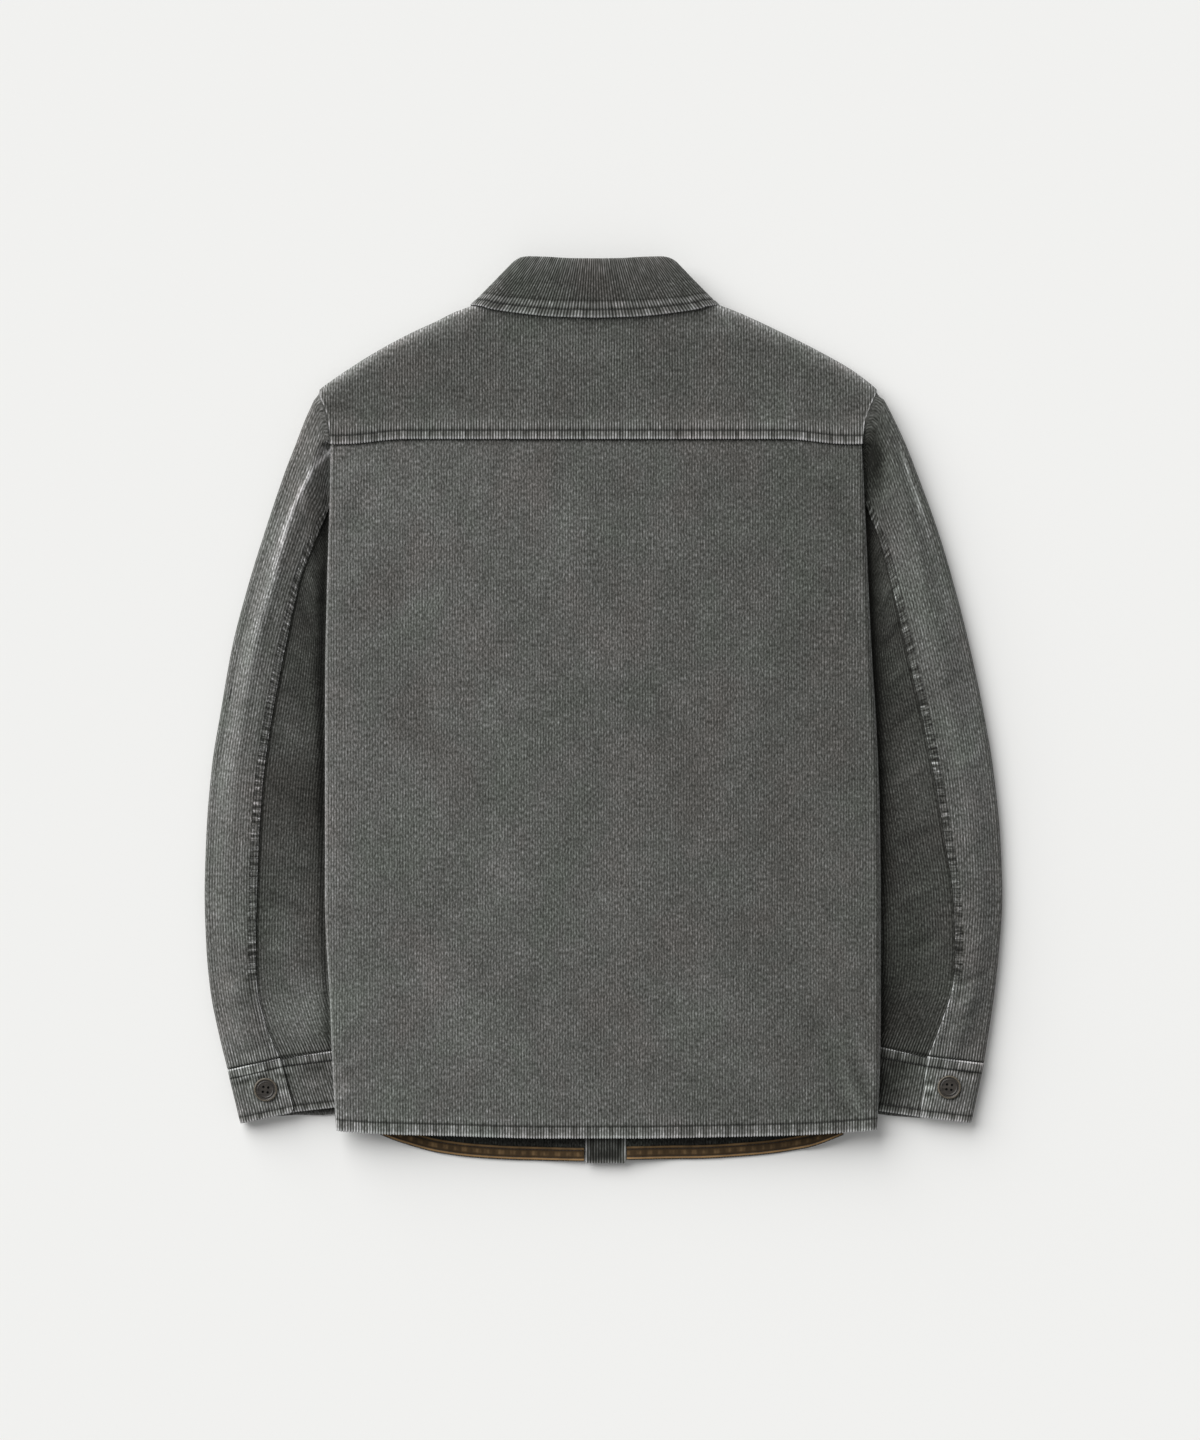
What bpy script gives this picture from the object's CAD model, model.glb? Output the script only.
"""Looks of a washed corduroy overshirt that lies flat on its front.

Sizes are in millimetres until a mesh is made. "left" is the wearer's left, at -X, and +Y runs to the collar.
"""

import math
from collections import namedtuple

import bpy
import numpy as np
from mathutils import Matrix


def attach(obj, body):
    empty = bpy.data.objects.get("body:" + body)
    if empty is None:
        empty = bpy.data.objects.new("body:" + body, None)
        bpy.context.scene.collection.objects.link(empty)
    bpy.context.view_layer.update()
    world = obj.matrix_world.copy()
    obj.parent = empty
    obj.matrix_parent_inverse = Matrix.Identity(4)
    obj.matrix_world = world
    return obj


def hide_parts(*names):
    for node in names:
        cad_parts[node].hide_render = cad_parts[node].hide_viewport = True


bl_info = {
    "name": "Corduroy Overshirt",
    "version": (1, 0, 0),
    "blender": (4, 5, 0),
    "location": "View3D > Sidebar > Overshirt",
    "description": "Dresses the overshirt in washed corduroy, stitching, tape and buttons",
    "category": "Object",
}

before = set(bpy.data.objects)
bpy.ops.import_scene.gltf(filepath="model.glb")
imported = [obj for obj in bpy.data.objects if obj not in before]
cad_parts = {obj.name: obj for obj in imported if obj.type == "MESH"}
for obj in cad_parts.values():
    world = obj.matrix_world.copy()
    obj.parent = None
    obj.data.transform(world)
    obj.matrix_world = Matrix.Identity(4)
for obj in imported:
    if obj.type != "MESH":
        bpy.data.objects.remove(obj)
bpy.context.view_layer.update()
MILLIMETRE = 0.001

CLOTH = 1.6
DOUBLE_CLOTH = 2.4
TAPE = 0.8
LAY_GAP = 0.6
LAP_RISE = CLOTH + 0.9
TUCK_TOP = 10.2
FLAP_LEVEL = TUCK_TOP + LAY_GAP
BUTTON_THICK = 2.8
PLACKET_LEVEL = BUTTON_THICK + 0.3
BUTTON_BAND_LEVEL = PLACKET_LEVEL + DOUBLE_CLOTH + 0.4
WING_LIFT = 4.0
SHOULDER_LIFT = 2.6
COLLAR_TOP = 27.0
SHOULDER_TOP = 20.5
COLLAR_CENTRE = -7.2
COLLAR_ROLL = 3.2
COLLAR_SEAM_AT = 5.0
COLLAR_DROOP = 3.0
STAND_BUTTON_RISE = 3.0
STAND_END = ((9.0, 288.0), (9.0, 273.0))
STAND_BUTTON_Y = 283.0
BAND_WIDTH = 36.0
BACK_TOP = 233.5
YOKE_SEAM_Y = 238.5
YOKE_SEAM_DROP = 4.5
NECK_HALF = 80.0
NECK_SIDE = 85.5
SEAM_LAP = 4.0
VENT_LAP = 14.0
VENT_Y = -236.0
CUFF_TOP = 13.4
CUFF_LAP = 16.0
HALF_SEAM = 0.4
FORWARD_GAP = 1.2
BAND_GAP = 0.5
NECK_GAP = 0.8
BACK_HALF = 238.0
BACK_HEM_Y = -370.0
BACK_SEAM_Y = 236.0
BAND_HEM_Y = -399.0
ROLL_REACH = 1.1
FREE_EDGE = 99.0
FRONT_BUTTON_TOP = 236.0
FRONT_BUTTON_SPACE = 96.0
SIDES = ("left", "right")

# Seam bands: width from the edge to the row of stitches
YOKE_BAND = 7.0
HEM_BAND = 9.5
COLLAR_BAND = 6.6
CUFF_TOP_BAND = 8.0
CUFF_LOW_BAND = 5.5


def rows_of(kind, *rows):
    """A table's rows, each with the named values of its kind."""
    return [kind(*row) for row in rows]


# Place along an edge with the value there, and places of the two sides at one distance up the garment
Place = namedtuple("Place", "at value")
Pair = namedtuple("Pair", "y left right")
BODY_FOLD = rows_of(
    Pair, (-369, -234.5, 241.0), (-316, -237.6, 243.5), (-264, -239.6, 244.2), (-167, -244.2, 244.2),
    (-80, -244.2, 243.0), (0, -244.2, 239.5), (38, -244.0, 237.0), (100, -242.8, 233.8),
    (150, -241.4, 231.6), (185, -240.2, 230.0), (205, -239.7, 229.0), (222, -239.4, 228.2),
    (236, -239.0, 227.4), (246, -238.6, 227.0),
)
FOLD_REACH = rows_of(
    Pair, (-369, 34, 29), (-316, 34, 32), (-264, 34, 34), (38, 34, 34), (100, 26, 26), (150, 18, 18),
    (185, 13, 13), (205, 9, 9), (222, 6.5, 6.5), (236, 4.5, 4.5), (246, 4, 4),
)
FOLD_TOP = rows_of(
    Place, (-369, 21.5), (-316, 22.0), (-264, 22.5), (38, 22.5), (100, 22.0), (150, 21.5), (185, 21.0),
    (205, 20.8), (222, 20.6), (236, 20.5), (246, 20.5),
)
FLAP = rows_of(
    Place, (-369, FLAP_LEVEL), (150, FLAP_LEVEL), (185, 11.4), (205, 12.6), (222, 14.2), (236, 15.6),
    (246, 15.8),
)
ARMHOLE = rows_of(
    Pair, (236, -239.4, 227.8), (250, -240.4, 229.0), (264, -243.6, 233.4), (275, -248.2, 238.0),
    (282, -250.6, 242.2),
)
Shoulder = namedtuple("Shoulder", "left right y")
SHOULDER = rows_of(
    Shoulder, (-250.6, 242.2, 282.0), (-242.9, 235.6, 287.4), (-225.3, 219.1, 299.6),
    (-197.1, 188.3, 317.2), (-163.7, 153.1, 334.8), (-147.8, 138.2, 341.9), (-133.8, 122.3, 349.0),
    (-120.0, 109.0, 354.2), (-112.0, 101.0, 357.2), (-103.0, 92.5, 362.4), (-92.0, 82.0, 369.5),
)
BAND_LINE = rows_of(Place, (-399.0, 2.5), (269.0, -5.0))
BACK_HEM = rows_of(
    Place, (-234.5, -368.6), (-200, -371.3), (-134, -373.2), (-51, -375.3), (30, -375.3), (96.5, -374.2),
    (177, -372.2), (241, -367.8),
)
FRONT_HEM = rows_of(
    Place, (-202, -370.5), (-177.2, -381.2), (-146.7, -390.2), (-112.6, -394.7), (-69.5, -397.0),
    (-15, -397.8), (22, -396.2), (78.3, -395.9), (132.4, -392.9), (177.3, -386.6), (213, -373.1),
)

SleeveSection = namedtuple(
    "SleeveSection", "outer_x outer_y seam_x seam_y inset inner_y edge_top ridge_at ridge_top seam_top"
)
SLEEVE_LEFT = rows_of(
    SleeveSection,
    (-250.4, 280.4, -232.0, 200, 0.5, 38.0, 20.5, 0.50, 20.5, 12.0),
    (-253.9, 274, -235.0, 194, 3.5, 36.5, 19.8, 0.53, 21.6, 12.5),
    (-263.0, 254, -240.0, 182, 6, 35.0, 18.5, 0.51, 23.5, 14.0),
    (-270.7, 234, -246.5, 165, 6, 33.0, 17.2, 0.45, 24.3, 15.0),
    (-279.0, 213, -253.0, 149, 6, 31.0, 16.0, 0.42, 25.0, 16.0),
    (-297.4, 159, -265.5, 116, 6, 26.0, 15.0, 0.40, 26.0, 18.5),
    (-313.5, 107, -274.5, 76, 6, 16.0, 14.0, 0.37, 26.5, 20.0),
    (-326.5, 57, -283.0, 35, 6, 0.0, 13.5, 0.38, 26.0, 20.5),
    (-337.0, -2, -292.0, -14, 6, -32.0, 13.0, 0.44, 25.0, 20.0),
    (-344.6, -49, -297.8, -56, 6, -66.0, 12.5, 0.50, 23.5, 19.5),
    (-349.6, -110, -302.0, -112, 6, -115.0, 12.0, 0.50, 22.0, 18.5),
    (-351.1, -163, -304.0, -163, 6, -163.0, 12.0, 0.50, 21.0, 18.0),
    (-349.6, -208, -305.0, -207, 8, -205.0, 12.0, 0.50, 20.0, 17.5),
    (-346.0, -247, -303.8, -243, 11, -239.0, 12.0, 0.50, 19.0, 17.0),
    (-339.0, -283, -296.5, -275, 14, -267.0, 12.5, 0.50, 17.5, 16.0),
    (-331.2, -315, -285.0, -304, 18, -296.3, 13.0, 0.50, 14.5, 14.0),
)
SLEEVE_RIGHT = rows_of(
    SleeveSection,
    (242.0, 280.4, 222.0, 200, 0.5, 38.0, 20.5, 0.30, 20.5, 12.0),
    (247.0, 274, 226.0, 193, 3.5, 36.5, 20.0, 0.26, 21.2, 12.5),
    (256.0, 257, 230.0, 184, 6, 35.0, 19.0, 0.22, 22.0, 13.0),
    (266.3, 235, 236.4, 168, 6, 33.0, 18.0, 0.26, 23.0, 13.7),
    (275.0, 213, 243.0, 151, 6, 31.0, 17.0, 0.30, 24.0, 14.5),
    (294.8, 159, 252.0, 118, 6, 26.0, 15.0, 0.40, 25.5, 16.0),
    (310.3, 107, 261.5, 76, 6, 16.0, 14.0, 0.46, 26.0, 18.0),
    (323.0, 57, 271.0, 35, 6, 0.0, 13.5, 0.50, 26.0, 19.0),
    (335.5, -2, 282.0, -14, 6, -32.0, 13.0, 0.50, 25.0, 19.5),
    (343.5, -49, 290.5, -56, 6, -66.0, 12.5, 0.50, 23.5, 19.5),
    (350.0, -110, 300.0, -112, 6, -115.0, 12.0, 0.50, 22.0, 18.5),
    (352.0, -163, 307.5, -163, 6, -163.0, 12.0, 0.50, 21.0, 18.0),
    (349.4, -208, 309.5, -207, 7, -203.0, 12.0, 0.50, 20.0, 17.5),
    (345.6, -245, 307.5, -240, 9, -234.0, 12.0, 0.50, 19.0, 17.0),
    (340.5, -280, 298.0, -272, 11, -261.0, 12.5, 0.50, 17.5, 16.0),
    (336.0, -309, 286.5, -302.5, 14, -291.2, 13.0, 0.50, 14.5, 14.0),
)

Cuff = namedtuple("Cuff", "top_outer top_tab top_inner low_outer low_tab low_inner button under_drop")
CUFFS = {
    "left": Cuff(
        (-331.0, -316.6), (-284.4, -305.6), (-222.5, -298.0),
        (-319.6, -363.8), (-271.6, -353.6), (-210.9, -346.7), (-296.6, -333.4), 6.5,
    ),
    "right": Cuff(
        (336.0, -310.6), (285.6, -304.2), (227.0, -293.0),
        (324.6, -363.2), (279.0, -358.0), (216.0, -348.5), (304.4, -331.2), 3.5,
    ),
}

CollarStation = namedtuple("CollarStation", "turn fold_x fold_y edge_x edge_y neck_x neck_y")
COLLAR = rows_of(
    CollarStation,
    (0, 0, 396.6, 0, 344.5, 0, 366.0),
    (0, 21, 396.8, 35, 345.5, 26, 366.3),
    (0, 42.5, 398.0, 70, 349.0, 51, 367.5),
    (0, 58, 398.4, 96, 353.5, 72, 370.0),
    (30, 58, 397.8, 96, 355.0, 74, 371.5),
    (60, 58, 396.0, 96, 356.0, 75, 372.5),
    (90, 58, 393.4, 96, 356.4, 75, 372.5),
    (120, 57.2, 391.0, 96, 355.0, 75, 371.0),
    (150, 56, 386.5, 95, 351.0, 74, 368.0),
    (180, 53, 380.0, 93, 344.0, 72, 361.5),
    (180, 44, 362.0, 85, 313.0, 63, 343.0),
    (180, 33, 338.0, 74, 274.0, 47, 315.0),
    (180, 19, 315.0, 62, 246.0, 29, 288.0),
    (180, 3, 300.0, 48, 227.0, 14, 273.5),
)

# Bright crests down the sleeves from the armhole: place, half width, height and paleness
Crest = namedtuple("Crest", "y x wide rise pale")
CRESTS = {
    "left": rows_of(
        Crest, (236, -236.0, 2.0, 1.0, 0.9), (228, -240.0, 2.0, 1.2, 1.0), (214.7, -251.8, 2.0, 1.3, 1.0),
        (197.7, -261.9, 2.0, 1.3, 1.0), (175.8, -272.0, 2.2, 1.3, 0.95), (155.5, -278.8, 2.6, 1.3, 0.9),
        (135.1, -283.9, 3.2, 1.3, 0.8), (114.8, -288.3, 4.0, 1.2, 0.7), (91.2, -295.8, 5.0, 1.1, 0.6),
        (70.8, -302.5, 6.0, 1.0, 0.55), (47.2, -307.6, 7.0, 0.9, 0.42), (0, -318.0, 9.0, 0.6, 0.22),
        (-80, -330.0, 12.0, 0.3, 0.08), (-160, -334.0, 14.0, 0.0, 0.0),
    ),
    "right": rows_of(
        Crest, (272, 250.0, 1.8, 0.4, 0.3), (244, 260.7, 2.0, 0.9, 0.7), (225, 264.4, 2.0, 1.0, 0.8),
        (203, 270.5, 2.2, 1.0, 0.75), (181, 278.0, 2.6, 1.0, 0.7), (159, 286.0, 3.4, 0.9, 0.5),
        (120, 298.0, 5.0, 0.8, 0.26), (40, 317.0, 10.0, 0.6, 0.16), (-60, 333.0, 12.0, 0.4, 0.12),
        (-160, 338.0, 12.0, 0.0, 0.0),
    ),
}

# Soft patches of shade and fading: middle, half widths and tone
Patch = namedtuple("Patch", "x y wide tall tone")
TOP_PATCHES = {
    "left": rows_of(
        Patch, (-243, 229, 4.5, 5, 0.9), (-250, 219.5, 4, 6, 0.8), (-257, 207, 3.2, 9, 0.8),
        (-264, 187, 3.2, 12, 0.8), (-272, 168, 3.6, 12, 0.6), (-279, 151, 4.5, 13, 0.45),
        (-289, 126, 6, 16, 0.2), (-272, 60, 12, 40, 0.12), (-262, 150, 8, 30, 0.15),
    ),
    "right": rows_of(
        Patch, (237, 220, 10, 30, -2.0), (250, 168, 12, 26, -0.25), (268, 228, 2.6, 17, 0.8),
        (278, 190, 3, 18, 0.55), (300, 90, 16, 40, 0.12), (330, -40, 14, 60, 0.10),
    ),
}
UNDER_PATCHES = {
    "left": rows_of(
        Patch, (-262, 60, 14, 50, -0.25), (-256, -78, 24, 36, -0.45), (-272, -20, 14, 26, 0.12),
        (-276, -190, 22, 34, 0.30), (-268, -262, 40, 40, 0.80),
    ),
    "right": rows_of(
        Patch, (250, 40, 14, 50, -0.2), (282, -60, 16, 50, 0.3), (256, -150, 18, 40, -0.15),
        (292, -200, 14, 40, 0.2), (252, -262, 26, 34, -0.45),
    ),
}
CUFF_PATCHES = {
    "left": rows_of(Patch, (-250, -328, 26, 26, -0.30), (-283, -311, 3.5, 7, 0.7)),
    "right": rows_of(Patch, (244, -326, 30, 32, -1.35), (283, -332, 4, 22, 0.35)),
}

# Creases laid by hand: from one place to another, half width, and rise (minus is a trough)
Crease = namedtuple("Crease", "x0 y0 x1 y1 wide rise")
BODY_CREASES = rows_of(
    Crease, (222, -285, 246, -334, 4.0, 1.3), (212, -300, 242, -354, 3.5, -1.2),
    (204, -312, 236, -364, 3.6, 1.3), (194, -324, 226, -370, 4.0, -1.0), (170, -250, 215, -345, 9.0, -0.7),
    (-238, -300, -212, -330, 4.0, -1.2), (-240, -322, -206, -300, 3.5, 1.0),
    (-238, -345, -214, -326, 4.0, 0.8), (-236, 200, -190, 226, 6.0, 0.7), (-232, 150, -200, 215, 7.0, -0.6),
    (224, 196, 178, 224, 6.0, 0.7), (222, 150, 192, 212, 7.0, -0.6), (-120, -60, -60, -190, 16.0, 0.7),
    (30, 40, 95, -120, 20.0, -0.6), (90, 130, 150, 20, 18.0, 0.6), (-180, 60, -140, -80, 16.0, -0.6),
    (-60, 190, 10, 120, 18.0, 0.5), (60, -200, 150, -300, 18.0, 0.6), (-170, -210, -90, -320, 18.0, 0.6),
)
SleeveTone = namedtuple("SleeveTone", "top under")
SLEEVE_TONES = {"left": SleeveTone(0.10, -0.42), "right": SleeveTone(0.06, -0.78)}
SLEEVE_CREASES = {
    "left": rows_of(
        Crease, (-256, 150, -243, 118, 3.0, -1.6), (-262, 128, -246, 92, 3.5, 1.5),
        (-270, 96, -247, 60, 3.5, -1.8), (-276, 62, -250, 30, 4.0, 1.4), (-280, 26, -252, -6, 4.0, -1.6),
        (-292, -8, -250, -40, 4.5, 1.4), (-332, 22, -306, -10, 5.0, -1.0), (-340, -40, -304, -70, 5.0, 0.9),
        (-296, -60, -250, -96, 5.0, -1.6), (-346, -96, -306, -120, 5.0, -1.0),
        (-298, -120, -248, -140, 5.0, 1.5), (-300, -160, -250, -186, 5.0, -1.5),
        (-348, -170, -310, -200, 5.5, 1.0), (-300, -205, -250, -222, 4.5, 1.3),
        (-340, -226, -306, -240, 3.5, -1.2), (-338, -240, -302, -256, 3.0, 1.1),
        (-334, -254, -300, -266, 3.0, -1.1), (-296, -238, -250, -262, 4.5, -1.2),
        (-330, -285, -292, -280, 4.0, 0.9), (-326, -304, -292, -294, 3.0, -1.0),
        (-285, -288, -245, -284, 4.0, 0.8),
    ),
    "right": rows_of(
        Crease, (250, 228, 236, 200, 3.0, -1.2), (258, 200, 240, 170, 3.5, 1.1),
        (252, 150, 236, 118, 3.0, -1.5), (258, 118, 240, 84, 3.5, 1.4), (268, 84, 244, 50, 3.5, -1.6),
        (274, 46, 246, 18, 4.0, 1.4), (320, 40, 290, 8, 5.0, -0.9), (284, 8, 248, -24, 4.5, -1.6),
        (338, -30, 302, -60, 5.0, 0.9), (292, -44, 248, -72, 5.0, 1.4), (300, -100, 250, -126, 5.0, -1.5),
        (348, -110, 312, -134, 5.5, -0.9), (304, -150, 250, -170, 5.0, 1.3),
        (306, -196, 252, -214, 5.0, -1.4), (348, -190, 314, -214, 5.0, 0.9),
        (344, -226, 308, -244, 3.5, -1.2), (340, -246, 304, -262, 3.0, 1.1),
        (336, -262, 300, -280, 3.5, -1.1), (300, -240, 250, -256, 4.5, 1.0),
        (332, -296, 292, -290, 3.5, -0.9), (286, -282, 250, -276, 4.0, -0.8),
    ),
}
CUFF_CREASES = {
    "left": rows_of(
        Crease, (-332, -331, -304, -324, 1.8, -1.2), (-308, -326, -290, -320, 1.8, -1.2),
        (-293, -321, -272, -322, 1.8, -1.1), (-286, -332, -273, -331, 1.6, -0.9),
        (-324, -324, -292, -316, 2.2, 1.0), (-288, -337, -275, -338, 2.0, 0.8),
        (-272, -318, -236, -314, 2.5, -0.8), (-268, -330, -238, -328, 3.0, 0.6),
    ),
    "right": rows_of(
        Crease, (294, -328, 282, -327, 1.6, -1.2), (293, -338, 281, -338, 1.6, -1.2),
        (294, -333, 281, -332, 2.0, 0.9), (330, -322, 312, -316, 2.2, -0.8),
        (276, -316, 246, -312, 2.5, -0.7), (274, -330, 248, -330, 3.0, 0.6),
    ),
}
YOKE_CREASES = rows_of(
    Crease, (-246, 268, -214, 262, 3.0, -0.9), (-244, 256, -206, 246, 3.5, 0.8),
    (236, 268, 206, 262, 3.0, -0.8), (233, 255, 200, 247, 3.5, 0.7), (-104, 350, -150, 318, 6.0, 0.7),
    (94, 349, 140, 316, 6.0, 0.7), (-60, 332, -130, 290, 14.0, -0.5), (40, 332, 120, 286, 14.0, -0.5),
)


def curve(xs, ys, at):
    """Smooth curve through points, without overshoot."""
    xs, ys = np.asarray(xs, float), np.asarray(ys, float)
    order = np.argsort(xs)
    xs, ys = xs[order], ys[order]
    at = np.clip(np.asarray(at, float), xs[0], xs[-1])
    step = np.diff(xs)
    slope = np.diff(ys) / step
    tangent = np.concatenate([slope[:1], np.zeros(len(xs) - 2), slope[-1:]])
    both = slope[:-1] * slope[1:]
    rising = both > 0
    tangent[1:-1][rising] = 2 * both[rising] / (slope[:-1] + slope[1:])[rising]
    i = np.clip(np.searchsorted(xs, at, side="right") - 1, 0, len(step) - 1)
    t = (at - xs[i]) / step[i]
    start = ys[i] * (1 + 2 * t) * (1 - t) ** 2 + tangent[i] * step[i] * t * (1 - t) ** 2
    return start + ys[i + 1] * t * t * (3 - 2 * t) + tangent[i + 1] * step[i] * t * t * (t - 1)


def column(table, position, value, at):
    """Smooth curve through two named columns of a table."""
    return curve([getattr(r, position) for r in table], [getattr(r, value) for r in table], at)


def profile(table, at):
    """Value of a table of places at other places."""
    return column(table, "at", "value", at)


def ease(amount):
    t = np.clip(amount, 0.0, 1.0)
    return t * t * (3 - 2 * t)


def hump(distance, wide):
    """Bell of height 1 about 0."""
    return np.exp(-((np.asarray(distance, float) / wide) ** 2))


def ripple(along, seed=0.0):
    """Uneven wave from about -1 to 1 along a seam."""
    a = np.asarray(along, float)
    wave = np.sin(a * 0.61 + seed) + 0.8 * np.sin(a * 0.377 + 2.1 * seed + 1.0)
    return (wave + 0.7 * np.sin(a * 0.929 + 3.3 * seed + 2.0) + 0.5 * np.sin(a * 0.143 + seed)) / 2.2


def soft_least(a, b, width=2.0):
    mix = np.clip(0.5 + 0.5 * (b - a) / width, 0, 1)
    return b * (1 - mix) + a * mix - width * mix * (1 - mix)


def points_at(x, y, z):
    return np.stack([x, y, z], axis=-1)


def sign_of(side):
    return -1.0 if side == "left" else 1.0


def body_edge_x(side, y):
    return column(BODY_FOLD, "y", side, y)


def side_seam_x(side, y):
    return body_edge_x(side, y) - sign_of(side) * column(FOLD_REACH, "y", side, y)


def armhole_x(side, y):
    y = np.asarray(y, float)
    hidden = side_seam_x(side, np.minimum(y, ARMHOLE[0].y))
    joined = ease((y - 205.0) / (ARMHOLE[0].y - 205.0))
    return hidden * (1 - joined) + column(ARMHOLE, "y", side, y) * joined


def band_x(y):
    return profile(BAND_LINE, y)


def creased(x, y, creases):
    """Sum of the soft troughs and ridges at places in plan."""
    total = np.zeros_like(x)
    for c in creases:
        along = np.array([c.x1 - c.x0, c.y1 - c.y0])
        length = np.hypot(*along)
        along = along / length
        far = (x - c.x0) * along[0] + (y - c.y0) * along[1]
        off = (x - c.x0) * along[1] - (y - c.y0) * along[0]
        off = off + 0.12 * c.wide * np.sin(far * 0.23 + c.x0)
        ends = ease(far / (0.35 * length)) * ease((length - far) / (0.35 * length))
        total = total + c.rise * ends * hump(off, c.wide)
    return total


def patched(x, y, patches):
    """Sum of the soft patches of tone at places in plan."""
    return sum(p.tone * np.exp(-(((x - p.x) / p.wide) ** 2) - ((y - p.y) / p.tall) ** 2) for p in patches)


def back_height(x, y):
    level = np.interp(y, [-400, -300, -60, 150, 236, 400], [17.6, 18.2, 18.8, 19.8, 20.5, 20.5])
    across = np.where(x < 0, x / body_edge_x("left", y), x / body_edge_x("right", y))
    rise = (profile(FOLD_TOP, y) - level) * ease((np.abs(across) - 0.62) / 0.36)
    settled = ease((236.0 - y) / 90.0) * ease((0.95 - np.abs(across)) / 0.3)
    swell = 0.9 * np.sin(y * 0.0145 + x * 0.006) + 0.7 * np.sin(x * 0.021 + y * 0.009 + 1.3)
    return level + rise + swell * settled


def wing_lift(x, y):
    across = np.abs(np.asarray(x) - COLLAR_CENTRE)
    y = np.asarray(y, float)
    reach = np.interp(y, [200, 227, 246, 274, 313, 344, 372], [50, 60, 76, 88, 99, 110, 112])
    most = WING_LIFT + SHOULDER_LIFT * ease((y - 310.0) / 24.0)
    return most * ease((reach + 34.0 - across) / 24.0) * ease((y - 192.0) / 26.0)


def front_level(side, x, y):
    sign = sign_of(side)
    from_seam = sign * (side_seam_x(side, y) - x)
    over_sleeve = FLAP_LEVEL * ease(1.0 - from_seam / 46.0) * ease((52.0 - y) / 34.0)
    band_level = PLACKET_LEVEL if side == "left" else BUTTON_BAND_LEVEL
    to_band = sign * (x - band_x(y)) - BAND_WIDTH / 2
    lift = wing_lift(x, y)
    return over_sleeve + lift + np.maximum(band_level - lift, 0) * ease(1.0 - to_band / 48.0)


def yoke_seam_y(x):
    to_end = np.minimum(x - ARMHOLE[0].left, ARMHOLE[0].right - x)
    return YOKE_SEAM_Y - YOKE_SEAM_DROP * ease(1.0 - to_end / 60.0)


def shoulder_share(x):
    """Share of the way across the shoulders, from the left end to the right."""
    return (x - ARMHOLE[-1].left) / (ARMHOLE[-1].right - ARMHOLE[-1].left)


def shoulder_end(x):
    """Distance to the nearer end of the shoulders."""
    return min(x - ARMHOLE[-1].left, ARMHOLE[-1].right - x)


def shoulder_ridge_y(x):
    side = "left" if x < COLLAR_CENTRE else "right"
    return float(column(SHOULDER, side, "y", x))


def back_neck_y(x):
    across = np.abs(x - COLLAR_CENTRE)
    return np.interp(across, [0, 26, 51, 72, 84], [366.0, 366.3, 367.5, 370.0, 371.0]) - 1.0


def grid_normals(grid):
    normals = np.cross(np.gradient(grid, axis=1), np.gradient(grid, axis=0))
    return normals / np.maximum(np.linalg.norm(normals, axis=2, keepdims=True), 1e-9)


def arc_lengths(grid):
    """Length along each row of a grid, from its first column."""
    steps = np.linalg.norm(np.diff(grid, axis=1), axis=2)
    return np.concatenate([np.zeros((len(grid), 1)), np.cumsum(steps, axis=1)], axis=1)


def path_lengths(points):
    """Length along a line of points, from its first."""
    return np.concatenate([[0], np.cumsum(np.linalg.norm(np.diff(points, axis=0), axis=1))])


def unit(rows):
    return rows / np.maximum(np.linalg.norm(rows, axis=1, keepdims=True), 1e-9)


def wale_tops(u):
    """1 on the top of a wale and 0 in the groove beside it."""
    return 0.5 + 0.5 * np.cos(2 * np.pi * u)


def seam_band(distance, band, along, seed):
    """Rise, tone and wale contrast beside a turned and topstitched edge."""
    inside = 1 - ease((distance - band + 0.3) / 0.9)
    wave = ripple(along, seed)
    tuck = np.maximum(ripple(along * 1.9, seed + 2.0), 0)
    rise = 0.55 * inside * ease(distance / 0.8) - 0.6 * hump(distance - band, 0.75)
    rise = rise + 0.34 * wave * hump(distance - band + 1.5, 3.2) - 0.35 * hump(distance, 0.5)
    rise = rise - 0.3 * tuck * hump(distance - band - 2.0, 1.8)
    tone = (0.02 + 0.5 * wave) * inside + 1.15 * hump(distance - 0.2, 1.3) + 0.2 * hump(distance, 4.0)
    tone = tone - 1.15 * hump(distance - band, 0.8) + 0.14 * hump(distance - band - 4.0, 3.0)
    tone = tone - 0.55 * tuck * hump(distance - band - 1.8, 1.7)
    contrast = 0.72 * inside + 1.3 * hump(distance - 0.4, 2.2) + 0.5 * hump(distance - band - 2.5, 4.0)
    return rise, tone, contrast


def crest_shape(side, x, y):
    """Rise and tone of the crest down a sleeve, darker on the side away from the light."""
    table = CRESTS[side]
    near = {key: column(table, "y", key, y) for key in ("x", "wide", "rise", "pale")}
    off = (x - near["x"]) * 0.88
    shape = hump(off, near["wide"])
    lean = np.where(off > 0, hump(off, near["wide"] * 0.7), hump(off, near["wide"] * 1.2))
    beyond = ease(off / (near["wide"] + 2.0)) * (1 - ease((off - 24.0) / 16.0))
    upper = ease((y + 60.0) / 150.0)
    tone = near["pale"] * (0.7 * lean + 0.3 * shape) - 0.10 * beyond * upper
    return near["rise"] * shape, tone


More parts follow.
